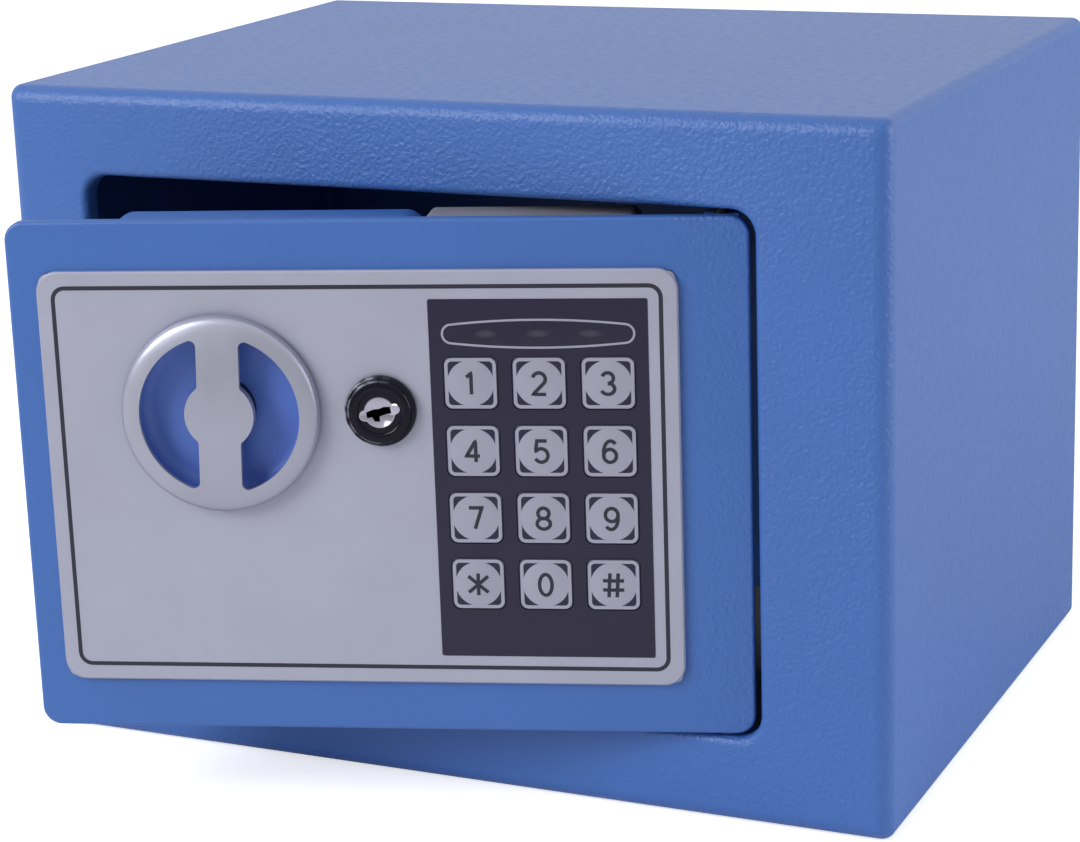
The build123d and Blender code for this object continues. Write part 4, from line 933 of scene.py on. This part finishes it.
def spun(form, cx, cy, outline, steps=48):
    """Turned surface about an upright line, from points of radius and z."""
    angles = [2 * pi * i / steps for i in range(steps)]
    last = None
    for radius, z in outline:
        ring = form.loop((cx + radius * cos(a), cy + radius * sin(a), z) for a in angles)
        if last:
            form.bridge(last, ring)
        else:
            form.mesh.faces.new(ring)
        last = ring
    form.mesh.faces.new(last)


SPRING_TURNS = 3.5
SPRING_WIRE_R = 0.28
SPRING_STEPS = 84
SPRING_SIDES = 8


def coil(form, cx, cy, z0, z1, r0, r1):
    """Tapered wire spring standing along Z, from radius r0 at z0 to r1 at z1."""
    wire = SPRING_WIRE_R
    sides = [2 * pi * k / SPRING_SIDES for k in range(SPRING_SIDES)]
    last = None
    for i in range(SPRING_STEPS + 1):
        share = i / SPRING_STEPS
        angle = 2 * pi * SPRING_TURNS * share
        radius = r0 + (r1 - r0) * share - wire
        height = z0 + wire + (z1 - z0 - 2 * wire) * share
        centre = Vector((cx + radius * cos(angle), cy + radius * sin(angle), height))
        out = Vector((cos(angle), sin(angle), 0))
        ring = form.loop(centre + out * wire * cos(b) + Vector((0, 0, wire * sin(b))) for b in sides)
        if last:
            form.bridge(last, ring)
        else:
            form.mesh.faces.new(ring)
        last = ring
    form.mesh.faces.new(last)


END_BAND = 0.1


def battery_springs():
    """Wound springs where the contacts stand, each as wide at its ends as the solid."""
    form = Form()
    for low, high, points in islands("contact_springs"):
        cx, cy = (low.x + high.x) / 2, (low.y + high.y) / 2
        foot = max(hypot(p.x - cx, p.y - cy) for p in points if p.z < low.z + END_BAND)
        tip = max(hypot(p.x - cx, p.y - cy) for p in points if p.z > high.z - END_BAND)
        coil(form, cx, cy, low.z, high.z, foot, tip)
    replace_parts(form.place("battery_springs", "bright_steel", "door", 60.0), "contact_springs")


CELL_COUNT = 4
CELL_TIP = 1.2
CELL_COLLAR = 14.0
# Outlines of a cell: the distance in from its side, and the height from its foot or from its shoulder
WRAP_FOOT = [(0.9, 0.12), (0.35, 0.1), (0.0, 0.5)]
COLLAR_TOP = [(0.0, -0.5), (0.35, -0.05), (1.2, -0.02)]
CAN_FOOT = [(1.0, 0.0), (0.7, 0.2)]
CAN_TOP = [(0.7, -0.3)]
# Outline of its tip: the radius, and the height from the shoulder
CAN_TIP = [(3.0, -0.25), (2.6, 0.0), (2.6, 0.9), (2.3, CELL_TIP)]


def battery_cells():
    """Wrapped cells with rolled ends, a coloured collar and a steel tip."""
    for index in range(1, CELL_COUNT + 1):
        node = f"cell_{index}"
        low, high, points = islands(node)[0]
        cx, cy, r = (low.x + high.x) / 2, (low.y + high.y) / 2, (high.x - low.x) / 2
        up = max(hypot(p.x - cx, p.y - cy) for p in points if p.z > high.z - END_BAND) < r - 1
        base, way = (low.z, 1) if up else (high.z, -1)
        length = (high.z - low.z) - CELL_TIP
        seam = [(r, length - CELL_COLLAR)]

        def at(outline):
            return [(radius, base + way * z) for radius, z in outline]

        wrap, collar, steel = Form(), Form(), Form()
        spun(wrap, cx, cy, at([(r - inset, z) for inset, z in WRAP_FOOT] + seam))
        spun(collar, cx, cy, at(seam + [(r - inset, length + z) for inset, z in COLLAR_TOP]))
        spun(steel, cx, cy, at([(r - inset, z) for inset, z in CAN_FOOT]
                               + [(r - inset, length + z) for inset, z in CAN_TOP]
                               + [(radius, length + z) for radius, z in CAN_TIP]))
        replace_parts(wrap.place(node + "_wrap", "cell_wrap", "door"), node)
        collar.place(node + "_collar", "brass_washer", "door")
        steel.place(node + "_can", "bright_steel", "door")


MAT_CORNER_R = 5.0
MAT_HOLE_X = 60.0
MAT_HOLE_R = 8.0
MAT_LIFT = 0.05


def felt_mat():
    """Felt on the floor of the case, cut round its two fixing holes."""
    low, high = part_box("floor_mat")
    low, high = low / MM, high / MM
    width, depth = high.x - low.x, high.y - low.y
    middle = (low + high) / 2
    outlines = [rounded_loop(middle.x, middle.y, width, depth, MAT_CORNER_R)]
    outlines += [circle_loop(x, 0.0, MAT_HOLE_R, 40) for x in (-MAT_HOLE_X, MAT_HOLE_X)]
    form = Form()
    tops, bottoms = [], []
    for outline in outlines:
        tops.append(form.loop((x, -high.z, z) for x, z in outline))
        bottoms.append(form.loop((x, -low.z - MAT_LIFT, z) for x, z in outline))
    form.fill(*tops)
    form.fill(*bottoms)
    for a, b in zip(tops, bottoms):
        form.bridge(a, b)
    made = form.place("felt_mat", "felt", "case", 60.0, Matrix.Rotation(radians(-90), 4, "X"))
    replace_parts(made, "floor_mat")


paint_nodes()
fascia_line()
window_outline()
key_prints()
knob()
lock_bezel()
lock_plug()
for screws in ("cover_screws", "box_screws"):
    cross_screws(screws, "door")
cross_screws("crank_screw", "knob")
battery_springs()
battery_cells()
felt_mat()


# Stage, light and camera

FLOOR_SIDE = 4.0
FLOOR_FRONT = -0.6
FLOOR_DROP = 0.0002
FLOOR_LIFT = 0.62
FLOOR_LIFT_MIRRORED = 0.05


def floor():
    """White floor under the object, lifted to the backdrop's white where the camera sees it."""
    mesh = bmesh.new()
    plan = [(-FLOOR_SIDE, FLOOR_FRONT), (FLOOR_SIDE, FLOOR_FRONT), (FLOOR_SIDE, FLOOR_SIDE),
            (-FLOOR_SIDE, FLOOR_SIDE)]
    mesh.faces.new([mesh.verts.new((x, y, -FLOOR_DROP)) for x, y in plan])
    data = bpy.data.meshes.new("floor")
    mesh.to_mesh(data)
    mesh.free()
    made = bpy.data.objects.new("floor", data)
    bpy.context.scene.collection.objects.link(made)
    white = Shader("floor_white", (0.93, 0.93, 0.94), 0.9)
    white.mottle(0.004, 3.0)
    path = white.node("ShaderNodeLightPath")
    seen = white.maths("MAXIMUM", path.outputs["Is Camera Ray"], path.outputs["Is Transmission Ray"])
    mirrored = white.maths("MULTIPLY", path.outputs["Is Glossy Ray"], FLOOR_LIFT_MIRRORED)
    white.set("Emission Color", (1.0, 1.0, 1.0, 1.0))
    lift = white.maths("MULTIPLY", seen, FLOOR_LIFT)
    white.set("Emission Strength", white.maths("MAXIMUM", lift, mirrored))
    data.materials.append(white.material)


ROOM_DIFFUSE = 0.38
ROOM_MIRRORED = (0.45, 1.0)
ROOM_LEAN = (0.0, 0.35, 1.0)
ROOM_REACH = (-0.4, 0.6)


def world():
    """White to the camera, plain light on the object, and a room that darkens downward in reflections."""
    made = bpy.data.worlds.new("studio")
    bpy.context.scene.world = made
    made.use_nodes = True
    nodes = Nodes(made.node_tree)
    back = nodes.tree.nodes["Background"]
    back.inputs["Color"].default_value = (1, 1, 1, 1)
    path = nodes.node("ShaderNodeLightPath")
    seen = nodes.maths("MAXIMUM", path.outputs["Is Camera Ray"], path.outputs["Is Transmission Ray"])
    coords = nodes.node("ShaderNodeTexCoord")
    lean = nodes.node("ShaderNodeVectorMath", operation="DOT_PRODUCT")
    nodes.feed(lean.inputs[0], coords.outputs["Generated"])
    nodes.feed(lean.inputs[1], ROOM_LEAN)
    room = nodes.span(lean.outputs["Value"], *ROOM_MIRRORED, *ROOM_REACH)
    soft = nodes.blend(path.outputs["Is Glossy Ray"], ROOM_DIFFUSE, room)
    nodes.feed(back.inputs["Strength"], nodes.blend(seen, soft, 1.0))


def softbox(name, place, aim, side, watts):
    """Square white softbox that faces its aim."""
    lamp = bpy.data.lights.new(name, "AREA")
    lamp.shape = "SQUARE"
    lamp.size = side
    lamp.energy = watts
    made = bpy.data.objects.new(name, lamp)
    made.location = place
    made.rotation_mode = "QUATERNION"
    made.rotation_quaternion = (Vector(aim) - Vector(place)).to_track_quat("-Z", "Y")
    bpy.context.scene.collection.objects.link(made)


CAMERA_AT = Vector((0.30007, -0.67109, 0.27308))
CAMERA_AIM = Vector((0.029018, -0.085, 0.095275))
CAMERA_ROLL = radians(1.942)
CAMERA_LENS = 94.716
SENSOR_WIDTH = 36.0
CLIP = (0.01, 20.0)


def camera():
    """Camera where the photograph was taken from."""
    made = bpy.data.objects.new("camera", bpy.data.cameras.new("camera"))
    made.data.sensor_width = SENSOR_WIDTH
    made.data.lens = CAMERA_LENS
    forward = (CAMERA_AIM - CAMERA_AT).normalized()
    side = forward.cross(UP).normalized()
    up = side.cross(forward)
    right = cos(CAMERA_ROLL) * side - sin(CAMERA_ROLL) * up
    top = sin(CAMERA_ROLL) * side + cos(CAMERA_ROLL) * up
    facing = Matrix((right, top, -forward)).transposed().to_4x4()
    made.matrix_world = Matrix.Translation(CAMERA_AT) @ facing
    made.data.clip_start, made.data.clip_end = CLIP
    bpy.context.scene.collection.objects.link(made)
    bpy.context.scene.camera = made


floor()
world()
softbox("key", (-0.6, -1.05, 0.75), (0, 0, 0.08), 0.7, 12.0)
softbox("fill", (1.5, 0.45, 0.45), (0, 0, 0.08), 1.0, 12.5)
softbox("top", (0.1, 0.2, 1.6), (0, 0, 0.17), 1.4, 1.5)
camera()
bpy.context.scene.view_settings.view_transform = "Standard"
